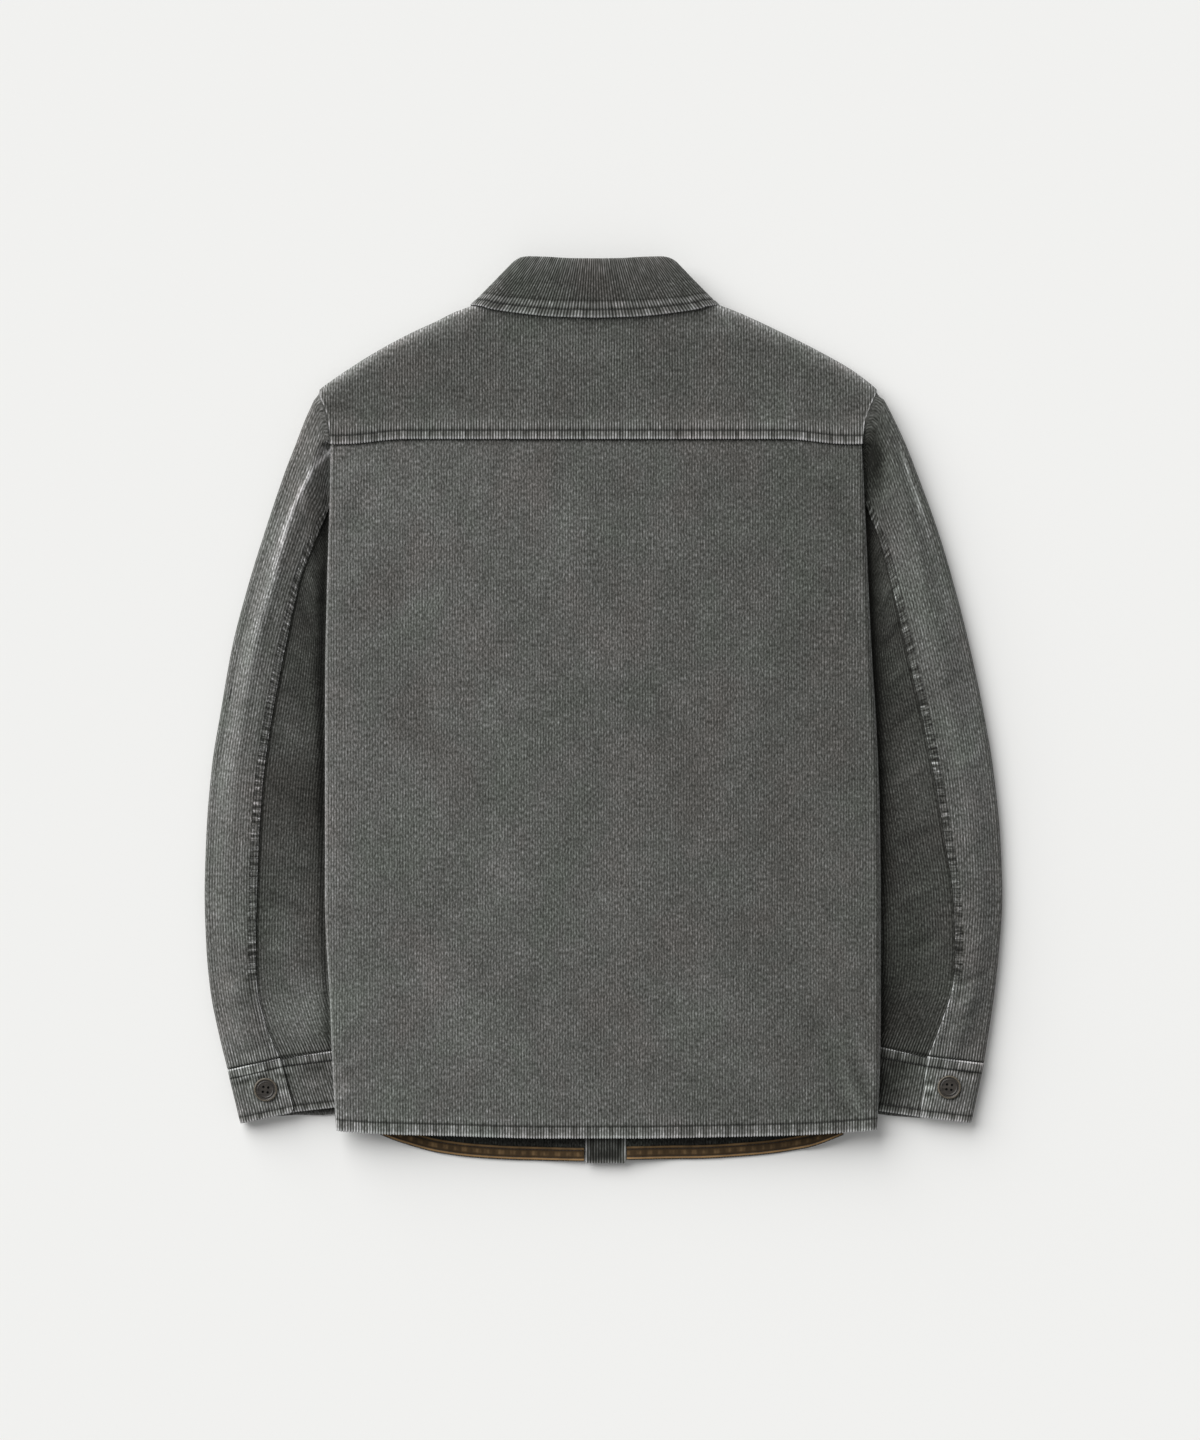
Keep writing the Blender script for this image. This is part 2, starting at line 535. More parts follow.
def border_walls(outer_rows, outer_columns, inner_rows, inner_columns, base):
    """Triangles that join the rims of two grids of different fineness."""
    rows, columns = outer_rows[-1] + 1, outer_columns[-1] + 1
    inner_width = len(inner_columns)
    tall, wide = len(inner_rows) - 1, inner_width - 1
    fine_rows, fine_columns = np.arange(rows), np.arange(columns)
    rims = [
        (fine_columns, inner_columns, np.arange(inner_width)),
        (fine_rows * columns + columns - 1, inner_rows, np.arange(tall + 1) * inner_width + wide),
        (
            (rows - 1) * columns + fine_columns[::-1], columns - 1 - inner_columns[::-1],
            tall * inner_width + np.arange(inner_width)[::-1],
        ),
        (fine_rows[::-1] * columns, rows - 1 - inner_rows[::-1], np.arange(tall + 1)[::-1] * inner_width),
    ]
    walls = []
    for fine, marks, coarse in rims:
        coarse = coarse + base
        j = 0
        for i in range(len(fine) - 1):
            walls.append((fine[i + 1], fine[i], coarse[j]))
            if i + 1 == marks[j + 1]:
                walls.append((fine[i + 1], coarse[j], coarse[j + 1]))
                j += 1
    return np.array(walls)


def grid_quads(rows, columns, start=0):
    i, j = np.meshgrid(np.arange(rows - 1), np.arange(columns - 1), indexing="ij")
    a = start + i * columns + j
    return np.stack([a, a + 1, a + columns + 1, a + columns], axis=-1).reshape(-1, 4)


def marks_of(count, step):
    """Every step-th index, with the last one always kept."""
    marks = np.arange(0, count, step)
    return marks if marks[-1] == count - 1 else np.append(marks, count - 1)


Cloth = namedtuple(
    "Cloth", "outer u v tone contrast relief thickness facing coarse keep pucker", defaults=(None, None)
)


def cloth_shell(name, cloth, material):
    """Closed mesh of a cloth: its face with raised wales, its plain back and its edges."""
    rows, columns = cloth.outer.shape[:2]
    outward = cloth.facing * grid_normals(cloth.outer)
    wale = np.cos(2 * np.pi * cloth.u) * 0.5 * cloth.relief
    face = cloth.outer + outward * wale[..., None]
    step_rows, step_columns = (1, 1) if cloth.keep is not None else cloth.coarse
    r, c = marks_of(rows, step_rows), marks_of(columns, step_columns)
    back = (cloth.outer - outward * cloth.thickness)[np.ix_(r, c)]
    points = np.concatenate([face.reshape(-1, 3), back.reshape(-1, 3)])
    quads = grid_quads(rows, columns)
    back_quads = grid_quads(len(r), len(c), rows * columns)[:, ::-1]
    if cloth.keep is None:
        walls = border_walls(np.arange(rows), np.arange(columns), r, c, rows * columns)
    else:
        kept = cloth.keep.reshape(-1)
        quads, back_quads = quads[kept], back_quads[kept]
        edges = quads[:, [0, 1, 1, 2, 2, 3, 3, 0]].reshape(-1, 2)
        key = edges[:, 0].astype(np.int64) * len(points) + edges[:, 1]
        twin = edges[:, 1].astype(np.int64) * len(points) + edges[:, 0]
        rim = edges[~np.isin(key, twin)]
        far = rim + rows * columns
        walls = np.column_stack([rim[:, 1], rim[:, 0], far[:, 0], far[:, 1]])
    faces = [quads, back_quads, walls]
    if cloth.facing < 0:
        faces = [f[:, ::-1] for f in faces]

    def both(values, behind):
        return np.concatenate([values.reshape(-1), behind[np.ix_(r, c)].reshape(-1)])

    layers = {
        "tone": both(cloth.tone, cloth.tone * 0.3 - 0.12),
        "contrast": both(cloth.contrast, cloth.contrast * 0 - 0.4),
    }
    if cloth.pucker is not None:
        layers["pucker"] = both(cloth.pucker, cloth.pucker * 0)
    uv = np.column_stack([both(cloth.u, cloth.u), both(cloth.v, cloth.v)])
    return mesh_piece(name, points, faces, uv, layers, material)


def mesh_piece(name, points, faces, uv, layers, material):
    """Object from points in millimetres, face arrays, a UV place and named values for each point."""
    used = np.unique(np.concatenate([f.reshape(-1) for f in faces]))
    place = np.zeros(len(points), int)
    place[used] = np.arange(len(used))
    points, uv = points[used] * MILLIMETRE, uv[used]
    faces = [place[f] for f in faces]
    corners = np.concatenate([f.reshape(-1) for f in faces])
    sizes = np.concatenate([np.full(len(f), f.shape[1]) for f in faces])
    mesh = bpy.data.meshes.new(name)
    mesh.vertices.add(len(points))
    mesh.vertices.foreach_set("co", points.reshape(-1))
    mesh.loops.add(len(corners))
    mesh.loops.foreach_set("vertex_index", corners)
    mesh.polygons.add(len(sizes))
    mesh.polygons.foreach_set("loop_start", np.concatenate([[0], np.cumsum(sizes)[:-1]]))
    mesh.update(calc_edges=True)
    layer = mesh.uv_layers.new(name="wale")
    layer.data.foreach_set("uv", uv[corners].reshape(-1))
    for key, values in layers.items():
        attribute = mesh.attributes.new(key, "FLOAT", "POINT")
        attribute.data.foreach_set("value", values[used])
    mesh.validate()
    mesh.shade_smooth()
    mesh.set_sharp_from_angle(angle=math.radians(55))
    mesh.materials.append(material)
    piece = bpy.data.objects.new(name, mesh)
    bpy.context.scene.collection.objects.link(piece)
    return piece


def lay_cloth(piece, node):
    """Rides the piece on the garment, hides its solid and states its flat cut."""
    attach(piece, "root")
    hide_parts(node)


def settings():
    return bpy.context.scene.overshirt


def make_back():
    """Back panel with its side folds, turned hem and the swell of the layers beneath."""
    s = settings()
    step = s.wale_pitch / s.wale_steps
    hem_rows = [0, 0.4, 0.9, 1.6, 2.6, 4.0, 5.5, 7.0, 8.2, 8.8, 9.3, 9.8, 10.4, 11.2, 12.4, 14.5, 17.5, 21]
    seam_rows = [200, 206, 212, 217, 221, 225, 228, 231, 233.5, 235.2, 236.2, 238, 240.5, 243.3]
    levels = np.concatenate([
        BACK_HEM_Y + np.array(hem_rows), np.arange(-345, -282, 3.5), np.arange(-278, 200, 11.0), seam_rows,
    ])
    flap_count, roll_count = int(34 / step / 2), int(18 / step)
    columns = np.linspace(-BACK_HALF, BACK_HALF, int(2 * BACK_HALF / s.wale_pitch * s.wale_steps))
    rows = []
    for y in levels:
        parts = []
        for side in SIDES:
            sign = sign_of(side)
            edge = float(body_edge_x(side, y))
            top, low = float(back_height(np.array(edge), y)), float(profile(FLAP, y))
            radius = (top - low) / 2
            end = float(side_seam_x(side, y)) + sign * HALF_SEAM
            start = edge - sign * radius
            flap = np.column_stack([np.linspace(end, start, flap_count), np.full(flap_count, low)])
            a = np.linspace(math.pi, 0, roll_count + 1)[1:]
            roll = np.column_stack([start + sign * radius * np.sin(a), (top + low) / 2 + radius * np.cos(a)])
            parts.append(np.concatenate([flap, roll]))
        left, right = parts
        inner = columns[1:-1]
        shift = np.where(inner < 0, left[-1, 0] + BACK_HALF, right[-1, 0] - BACK_HALF)
        x = inner + shift * ease((np.abs(inner) - 200.0) / 38.0)
        middle = np.column_stack([x, back_height(x, np.full_like(x, y))])
        rows.append(np.concatenate([left, middle, right[::-1]]))
    rows = np.array(rows)
    x, z = rows[..., 0], rows[..., 1]
    nominal = levels[:, None] + 0 * x
    hem_y = profile(BACK_HEM, x)
    at_hem = ease((-310.0 - nominal) / 40.0)
    at_yoke = ease((nominal - 205.0) / 31.0)
    y = nominal + (hem_y - BACK_HEM_Y) * at_hem + (yoke_seam_y(x) - BACK_SEAM_Y) * at_yoke
    arc = arc_lengths(np.stack([x, z], axis=-1))
    middle = x.shape[1] // 2
    u = (arc - arc[:, middle:middle + 1] + x[:, middle:middle + 1]) / s.wale_pitch
    hem = nominal - BACK_HEM_Y
    on_top = ease((z - 15.5) / 2.5)
    rise, tone, contrast = seam_band(hem, HEM_BAND, x, 0.4)
    to_yoke = BACK_SEAM_Y - nominal
    rise = rise - 0.5 * hump(to_yoke - 0.6, 1.6) + 0.22 * ripple(x, 2.0) * hump(to_yoke - 3, 5.0)
    tone = tone - 0.55 * hump(to_yoke - 0.5, 1.4) + 0.10 * hump(to_yoke - 5, 4.0)
    fold = np.where(x < 0, x - body_edge_x("left", nominal), body_edge_x("right", nominal) - x)
    tone = tone + 0.62 * hump(fold - 0.7, 1.0) * on_top
    tone = tone - 0.22 * hump(fold - 3.4, 1.3) + 0.08 * hump(fold - 7, 4.0)
    contrast = contrast + 0.25 * hump(fold - 3, 8.0) + 0.18 * hump(hem - 22, 22)
    folds = creased(x, y, BODY_CREASES)
    tone = tone - 0.13 * x / 190.0
    z = z + (rise + folds) * on_top
    tone = tone + 0.2 * folds
    y = y - 0.9 * wale_tops(u) * hump(hem, 1.0) * on_top
    cloth = Cloth(
        points_at(x, y, z), u, y, tone * on_top, contrast, s.wale_relief * (0.3 + 0.7 * on_top),
        CLOTH, 1.0, (4, 6),
    )
    piece = cloth_shell("back_panel", cloth, corduroy())
    lay_cloth(piece, "back")
    hem_row = int(np.argmin(np.abs(levels - BACK_HEM_Y - HEM_BAND)))
    folded = flap_count + roll_count
    stitch_rows("back_hem_stitches", [cloth.outer[hem_row, folded:-folded]])


def make_yoke():
    """Yoke with its topstitched lower edge, rolled over the shoulders to the forward seams."""
    s = settings()
    step = s.wale_pitch / s.wale_steps
    left_count = int((COLLAR_CENTRE - NECK_SIDE - ARMHOLE[-1].left) / step)
    right_count = int((ARMHOLE[-1].right - COLLAR_CENTRE - NECK_SIDE) / step)
    neck_count = int(2 * NECK_HALF / step)
    places = np.concatenate([
        np.linspace(ARMHOLE[-1].left, COLLAR_CENTRE - NECK_SIDE, left_count),
        COLLAR_CENTRE + np.linspace(-NECK_HALF, NECK_HALF, neck_count),
        np.linspace(COLLAR_CENTRE + NECK_SIDE, ARMHOLE[-1].right, right_count),
    ])
    at_neck = np.array([False] * left_count + [True] * neck_count + [False] * right_count)
    seam_rows = np.array([0, 0.5, 1.2, 2.2, 3.6, 5.0, 6.0, 6.6, 7.0, 7.4, 8.0, 9.0, 10.5, 13, 17, 22])
    roll_rows, flat_rows = 9, 10
    grid, marks = [], []
    for place, ends in zip(places, at_neck):
        share = shoulder_share(place)
        ridge = float(back_neck_y(place)) if ends else shoulder_ridge_y(place)
        ridge -= 0.8 * float(hump(shoulder_end(place), 3.5))
        low = float(wing_lift(place, ridge - 24.0))
        radius = (SHOULDER_TOP - low) / 2
        reach = radius * ROLL_REACH
        centre = ridge if ends else ridge - reach
        first = float(yoke_seam_y(place)) + 0.1
        plain = np.linspace(first + seam_rows[-1], centre, flat_rows + 1)[1:]
        flat = np.concatenate([first + seam_rows, plain])
        a = np.linspace(0, math.pi, roll_rows + 1)[1:]
        y = np.concatenate([flat, centre + reach * np.sin(a), [centre - 5, centre - 12]])
        at = np.minimum(y, ARMHOLE[-1].y)
        left, right = armhole_x("left", at) - 0.2, armhole_x("right", at) + 0.2
        x = left + (right - left) * share
        z_flat = back_height(x[: len(flat)], flat) + LAP_RISE * ease((first + 22.0 - flat) / 12.0)
        z_roll = SHOULDER_TOP + radius * (np.cos(a) - 1)
        z = np.concatenate([z_flat, z_roll, wing_lift(np.full(2, place), y[-2:])])
        grid.append(points_at(x, y, z))
        marks.append((first, shoulder_end(place), ridge + 40.0 * ends))
    grid = np.array(grid)
    first, from_end, ridge = np.array(marks).T[..., None]
    from_ridge = ridge - grid[..., 1]
    x, y, z = grid[..., 0], grid[..., 1], grid[..., 2]
    distance = y - first
    on_top = ease((z - 14.0) / 5.0)
    rise, tone, contrast = seam_band(distance, YOKE_BAND, x, 1.7)
    fleck = 0.5 + ripple(y * 1.7, 4.0)
    tone = tone + (0.75 + 0.4 * fleck) * hump(from_end - 0.5, 1.1) - 0.35 * fleck * hump(from_end - 3.2, 1.6)
    tone = tone + 0.2 * fleck * hump(from_end - 6.0, 2.5)
    contrast = contrast + 0.3 * hump(from_end - 3, 6.0)
    folds = creased(x, y, YOKE_CREASES)
    folds = folds + 0.14 * ripple(y * 0.9, 4.0) * hump(from_end - 4, 5.0)
    rim = (0.60 * hump(from_ridge - 1.5, 3.0) + 0.30 * hump(from_ridge - 6.0, 8.0)) * (distance > 30)
    tone = tone + rim * ease((z - 8.0) / 5.0)
    bars = ripple(x * 2.6, 7.0) * (0.6 + 0.6 * ripple(x * 0.5, 8.0))
    tone = tone + 0.75 * bars * hump(distance - 0.5 * YOKE_BAND, 0.55 * YOKE_BAND)
    tone = tone + 0.5 * np.maximum(ripple(x * 1.4, 9.0), 0) * hump(distance - YOKE_BAND - 2.6, 1.7)
    contrast = contrast + 0.8 * hump(distance - YOKE_BAND - 3.0, 3.0)
    tone = tone - 0.14 + 0.1 * folds
    grid = np.stack([x, y, z + (rise + folds) * on_top], axis=-1)
    cells = grid.shape[1] - 1
    keep = np.ones((grid.shape[0] - 1, cells), bool)
    keep[at_neck[:-1] | at_neck[1:], len(seam_rows) + flat_rows - 1:] = False
    contrast = contrast + 0.30
    u = x / s.wale_pitch + 0.31
    grid[..., 1] -= 0.6 * wale_tops(u) * hump(distance, 0.9)
    cloth = Cloth(
        grid, u, y, tone * ease((z - 6.0) / 4.0), contrast,
        s.wale_relief * (0.2 + 0.8 * on_top), CLOTH, -1.0, (1, 1), keep,
    )
    piece = cloth_shell("yoke_panel", cloth, corduroy())
    lay_cloth(piece, "yoke")
    stitch_rows("yoke_stitches", [grid[:, 8]])


def sleeve_grids(side):
    """Fine grids of a sleeve: its top sleeve and its under sleeve, with their marks."""
    s = settings()
    sign = sign_of(side)
    table = SLEEVE_LEFT if side == "left" else SLEEVE_RIGHT
    middles = np.array([[(r.outer_x + r.seam_x) / 2, (r.outer_y + r.seam_y) / 2] for r in table])
    lengths = path_lengths(middles)
    stations = np.arange(0, lengths[-1], s.sleeve_step)
    cuff_rows = lengths[-1] - np.array([9, 6.5, 4.5, 2.8, 1.4, 0.6, 0])
    stations = np.concatenate([[0, 1, 2.2], stations[1:], cuff_rows])
    stations = np.unique(np.round(stations, 3))
    index = np.arange(len(table))
    t = np.interp(stations, lengths, index)
    value = {k: curve(index, [getattr(r, k) for r in table], t) for k in SleeveSection._fields}
    step = s.wale_pitch / s.sleeve_steps
    top_count, roll_count, low_count = int(54 / step), int(19 / step), 16
    under_low, under_roll, under_top = 8, int(14 / step), int(60 / step)
    grids = {"top": [], "under": []}
    marks = {"top": [], "under": []}
    for k in range(len(t)):
        row = {name: float(v[k]) for name, v in value.items()}
        outer, seam = np.array([row["outer_x"], row["outer_y"]]), np.array([row["seam_x"], row["seam_y"]])
        inner_x = float(side_seam_x(side, row["inner_y"])) + sign * row["inset"]
        inner = np.array([inner_x, row["inner_y"]])
        to_seam, to_inner = seam - outer, inner - seam
        long_seam, long_inner = np.linalg.norm(to_seam), np.linalg.norm(to_inner)
        total = long_seam + long_inner
        edge_radius, tuck_radius = row["edge_top"] / 2, TUCK_TOP / 2
        vent_share = float(ease((VENT_Y + 4 - row["seam_y"]) / 8))
        lap = SEAM_LAP + (VENT_LAP - SEAM_LAP) * vent_share
        last_top = total - tuck_radius
        ridge_d = edge_radius + (long_seam - edge_radius) * row["ridge_at"]
        first = float(np.clip(1 - t[k], 0, 1))

        def plan(d):
            d = np.asarray(d, float)[:, None]
            near = outer + to_seam * d / long_seam
            far = seam + to_inner * (d - long_seam) / long_inner
            p = np.where(d <= long_seam, near, far)
            off = 0.1 + 0.15 * ease((p[:, 1] - 266.0) / 10.0)
            snapped = armhole_x(side, p[:, 1]) + sign * off
            p[:, 0] = p[:, 0] + (snapped - p[:, 0]) * first
            return p

        def rise(d):
            before = ease((d - long_seam + lap + 16.0) / 14.0)
            return LAP_RISE * before * ease((long_seam + 24.0 - d) / 18.0)

        def top(d):
            p = plan(d)
            marks_at = [edge_radius, ridge_d, long_seam, last_top]
            form = curve(marks_at, [row["edge_top"], row["ridge_top"], row["seam_top"], TUCK_TOP], d)
            form = form + crest_shape(side, p[:, 0], p[:, 1])[0] * (1 - first)
            level = profile(FLAP, p[:, 1]) - LAY_GAP
            outside = np.maximum(sign * (p[:, 0] - body_edge_x(side, p[:, 1])) - 2.5, 0)
            free = 60.0 * ease((p[:, 1] - BACK_TOP) / 7.0)
            return soft_least(form, level + 0.85 * outside + free - rise(d), 2.0)

        d = np.linspace(long_seam, edge_radius, top_count)
        z = top(d) + rise(d)
        a = np.linspace(0, math.pi, roll_count + 1)[1:]
        roll_d, half = edge_radius * (1 - np.sin(a)), z[-1] / 2
        split = total * 0.72
        low_d = np.linspace(edge_radius, split - 0.3, low_count)[1:]
        xy = np.concatenate([plan(d), plan(roll_d), plan(low_d)])
        z = np.concatenate([z, half + half * np.cos(a), np.zeros(len(low_d))])
        grids["top"].append(np.column_stack([xy, z]))
        outer_d = np.concatenate([d, roll_d, low_d])
        upper, vent = np.arange(len(outer_d)) < len(d), np.full(len(outer_d), vent_share)
        marks["top"].append(np.column_stack([long_seam - outer_d, upper, vent]))
        low_d = np.linspace(split + 0.3, last_top, under_low)
        half = float(top(np.array([last_top]))[0]) / 2
        a = np.linspace(math.pi, 0, under_roll + 1)[1:]
        roll_d = total - tuck_radius * (1 - np.sin(a))
        d = np.linspace(last_top, long_seam - lap, under_top)[1:]
        xy = np.concatenate([plan(low_d), plan(roll_d), plan(d)])
        z = np.concatenate([np.zeros(under_low), half + half * np.cos(a), top(d)])
        grids["under"].append(np.column_stack([xy, z]))
        outer_d = np.concatenate([low_d, roll_d, d])
        upper, vent = np.arange(len(outer_d)) >= len(low_d) + len(roll_d), np.full(len(outer_d), vent_share)
        marks["under"].append(np.column_stack([outer_d - long_seam, upper, vent]))
    return {
        "to_cuff": lengths[-1] - stations, "t": t, "counts": (top_count, roll_count),
        "grids": {part: np.array(rows) for part, rows in grids.items()},
        "marks": {part: np.array(rows) for part, rows in marks.items()},
    }


def tucked_end(grid, reach, squeeze, low, high):
    """Two more rows at a tube's end that slip inside its neighbour."""
    end = grid[-1]
    way = (end - grid[-2])[:, :2].mean(axis=0)
    way = way / max(np.linalg.norm(way), 1e-6)
    centre = end[:, :2].mean(axis=0)
    rows = []
    for share in (0.25, 1.0):
        p = end.copy()
        p[:, :2] = centre + (end[:, :2] - centre) * (1 - squeeze * share) + way * reach * share
        z_in = low + end[:, 2] * (high - low) / max(end[:, 2].max(), 1e-6)
        p[:, 2] = end[:, 2] + (z_in - end[:, 2]) * min(1.0, share * 2.5)
        rows.append(p)
    return np.array(rows)


def make_sleeve(side):
    """Top sleeve and under sleeve of one arm, with the back seam, the vent and their creases."""
    s = settings()
    sign = sign_of(side)
    made = sleeve_grids(side)
    pieces = {}
    for part in ("top", "under"):
        grid, mark = made["grids"][part], made["marks"][part]
        grid = np.concatenate([grid, tucked_end(grid, 6.0, 0.05, 2.9, 10.5)])
        mark = np.concatenate([mark, mark[-1:], mark[-1:]])
        to_cuff = np.concatenate([made["to_cuff"], [-1.5, -6.0]])[:, None]
        t = np.concatenate([made["t"], made["t"][-1:], made["t"][-1:]])[:, None]
        x, y, z = grid[..., 0], grid[..., 1], grid[..., 2]
        from_seam, upper, vent = mark[..., 0], mark[..., 1], mark[..., 2]
        near_cuff = hump(to_cuff, 10.0)
        folds = creased(x, y, SLEEVE_CREASES[side]) * ease(to_cuff / 6)
        free = ease((sign * (x - body_edge_x(side, np.minimum(y, 240))) - 3) / 8)
        folds = folds * upper * np.maximum(free, (y > 240) * 0.3)
        tone = 0.10 * folds - 0.55 * hump(to_cuff + 0.2, 1.1)
        contrast = 0.9 * near_cuff + 0.30
        pucker = 0.28 * ripple(x * 1.3, 5.0) * hump(to_cuff - 4, 6.0)
        top_count, roll_count = made["counts"]
        level = z[:, top_count - 1:top_count] if part == "top" else z[:, -1:]
        arc = arc_lengths(np.stack([x, y, np.where(upper > 0.5, level, z)], axis=-1))
        if part == "top":
            outer_column = top_count + roll_count // 2
            edge_line = np.gradient(grid[:, outer_column, :2], axis=0)
            across = grid[:, outer_column - 20, :2] - grid[:, 0, :2]
            skew = np.abs(edge_line[:, 0] * across[:, 1] - edge_line[:, 1] * across[:, 0])
            skew = skew / (np.linalg.norm(edge_line, axis=1) * np.linalg.norm(across, axis=1) + 1e-9)
            skew[-4:] = skew[-5]
            u = (arc - arc[:, outer_column:outer_column + 1]) * skew[:, None] / s.wale_pitch
            shown = ease((240 - y) / 20)
            tone = tone + crest_shape(side, x, y)[1] * upper + SLEEVE_TONES[side].top
            tone = tone + patched(x, y, TOP_PATCHES[side]) * upper
            band = (1 - ease((from_seam - 6.2) / 1.6)) * upper * ease((y + 262) / 10) * (1 - vent)
            knots = ripple(to_cuff * 1.35, 1.0 + sign)
            fine = np.sin(to_cuff * 1.12 + 2.2 * ripple(to_cuff * 0.2, 3.0 + sign) + from_seam * 0.12)
            tone = tone + ((0.06 if side == "left" else -0.28) + 0.22 * knots) * band * shown
            tone = tone - 0.55 * hump(from_seam - 6.8, 0.9) * (0.5 + 0.5 * knots) * band * shown
            shade = np.maximum(knots, 0) * hump(from_seam - 9.5, 2.5)
            tone = tone - 0.38 * shade * shown * (1 - vent) * upper
            folds = folds + (0.30 * knots + 0.34 * fine) * band * hump(from_seam - 4.0, 3.5)
            tone = tone + 0.35 * hump(from_seam - 0.3, 0.9) * (1 - vent) * (0.5 + 0.5 * fine) * shown
            tone = tone + 0.85 * hump(from_seam - 0.3, 1.1) * vent - 0.5 * hump(from_seam - 6.5, 0.7) * vent
            contrast = contrast + 0.35 * vent * hump(from_seam - 4, 8.0)
            tack = hump(y - (VENT_Y - 1), 2.0) + hump(y - (VENT_Y - 12), 2.2)
            tone = tone - 0.5 * tack * hump(from_seam - 7, 6.0) * upper
            head = 1 - ease(t / 1.4)
            fleck = ripple(y * 1.7, 2.2)
            tone = tone + 0.40 * head * fleck * upper - 0.9 * hump(t, 0.16) * upper
            folds = folds + 0.12 * fleck * head * ease(t / 0.5)
            z = z - 0.35 * hump(from_seam, 0.8) * upper
        else:
            u = (arc - arc[:, -1:] + (VENT_LAP - SEAM_LAP) * vent[:, -1:]) / s.wale_pitch
            tone = tone + patched(x, y, UNDER_PATCHES[side])
            tone = tone + SLEEVE_TONES[side].under - 0.5 * hump(from_seam - 0.5, 1.8) * (1 - vent)
            beside = sign * (x - body_edge_x(side, y))
            tone = tone - 0.85 * hump(np.maximum(beside, 0), 9.0) * (0.35 + 0.65 * ease((y + 200) / 160))
            patch = ripple(y * 0.55, 6.0) * hump(beside - 7, 7.0)
            tone = tone - 0.28 * np.maximum(patch, 0) * ease((y + 200) / 150)
            tone = tone * (0.15 + 0.85 * upper)
        z = z + (folds + pucker * upper)
        on_top = 0.15 + 0.85 * ease((z - 4.0) / 5.0)
        cloth = Cloth(
            points_at(x, y, z), u, to_cuff + 0 * x, tone, contrast + 0 * x, 0.7 * s.wale_relief * on_top,
            CLOTH, -sign, (5, 8), pucker=0 * x if part == "under" else band * shown,
        )
        pieces[part] = cloth_shell("sleeve_" + part + "_panel_" + side, cloth, corduroy())
    for part, rests in (("under", ["front_" + side]), ("top", ["sleeve_under_panel_" + side])):
        lay_cloth(pieces[part], "sleeve_" + part + "_" + side)
    seam = made["grids"]["top"]
    shown = (seam[:, 0, 1] < 150) & (made["to_cuff"] > 6)
    lines = [seam[shown, int(off * s.sleeve_steps / s.wale_pitch)] for off in (1.6, 6.8)]
    stitch_rows("sleeve_seam_stitches_" + side, lines)


# Rows of the cuff's mesh from its top edge down, closest at the edges and the stitches
CUFF_ROWS = np.array([
    0, 0.5, 1.0, 1.6, 2.6, 4, 5.6, 6.8, 7.4, 7.9, 8.4, 9.0, 10, 11.2, 12.5, 14, 15.5, 17, 18.5, 20,
    21.6, 23.2, 25, 27, 29, 31, 33, 35, 37, 39, 40.5, 41.8, 42.6, 43.2, 43.8, 44.6, 46, 47.4, 48, 48.4,
])


def cuff_corner(share):
    """How far the tab's rounded lower corner draws back the tab's end."""
    return 5.0 * (1 - math.sqrt(max(0.0, 1 - ((share - 0.9) / 0.1) ** 2)))


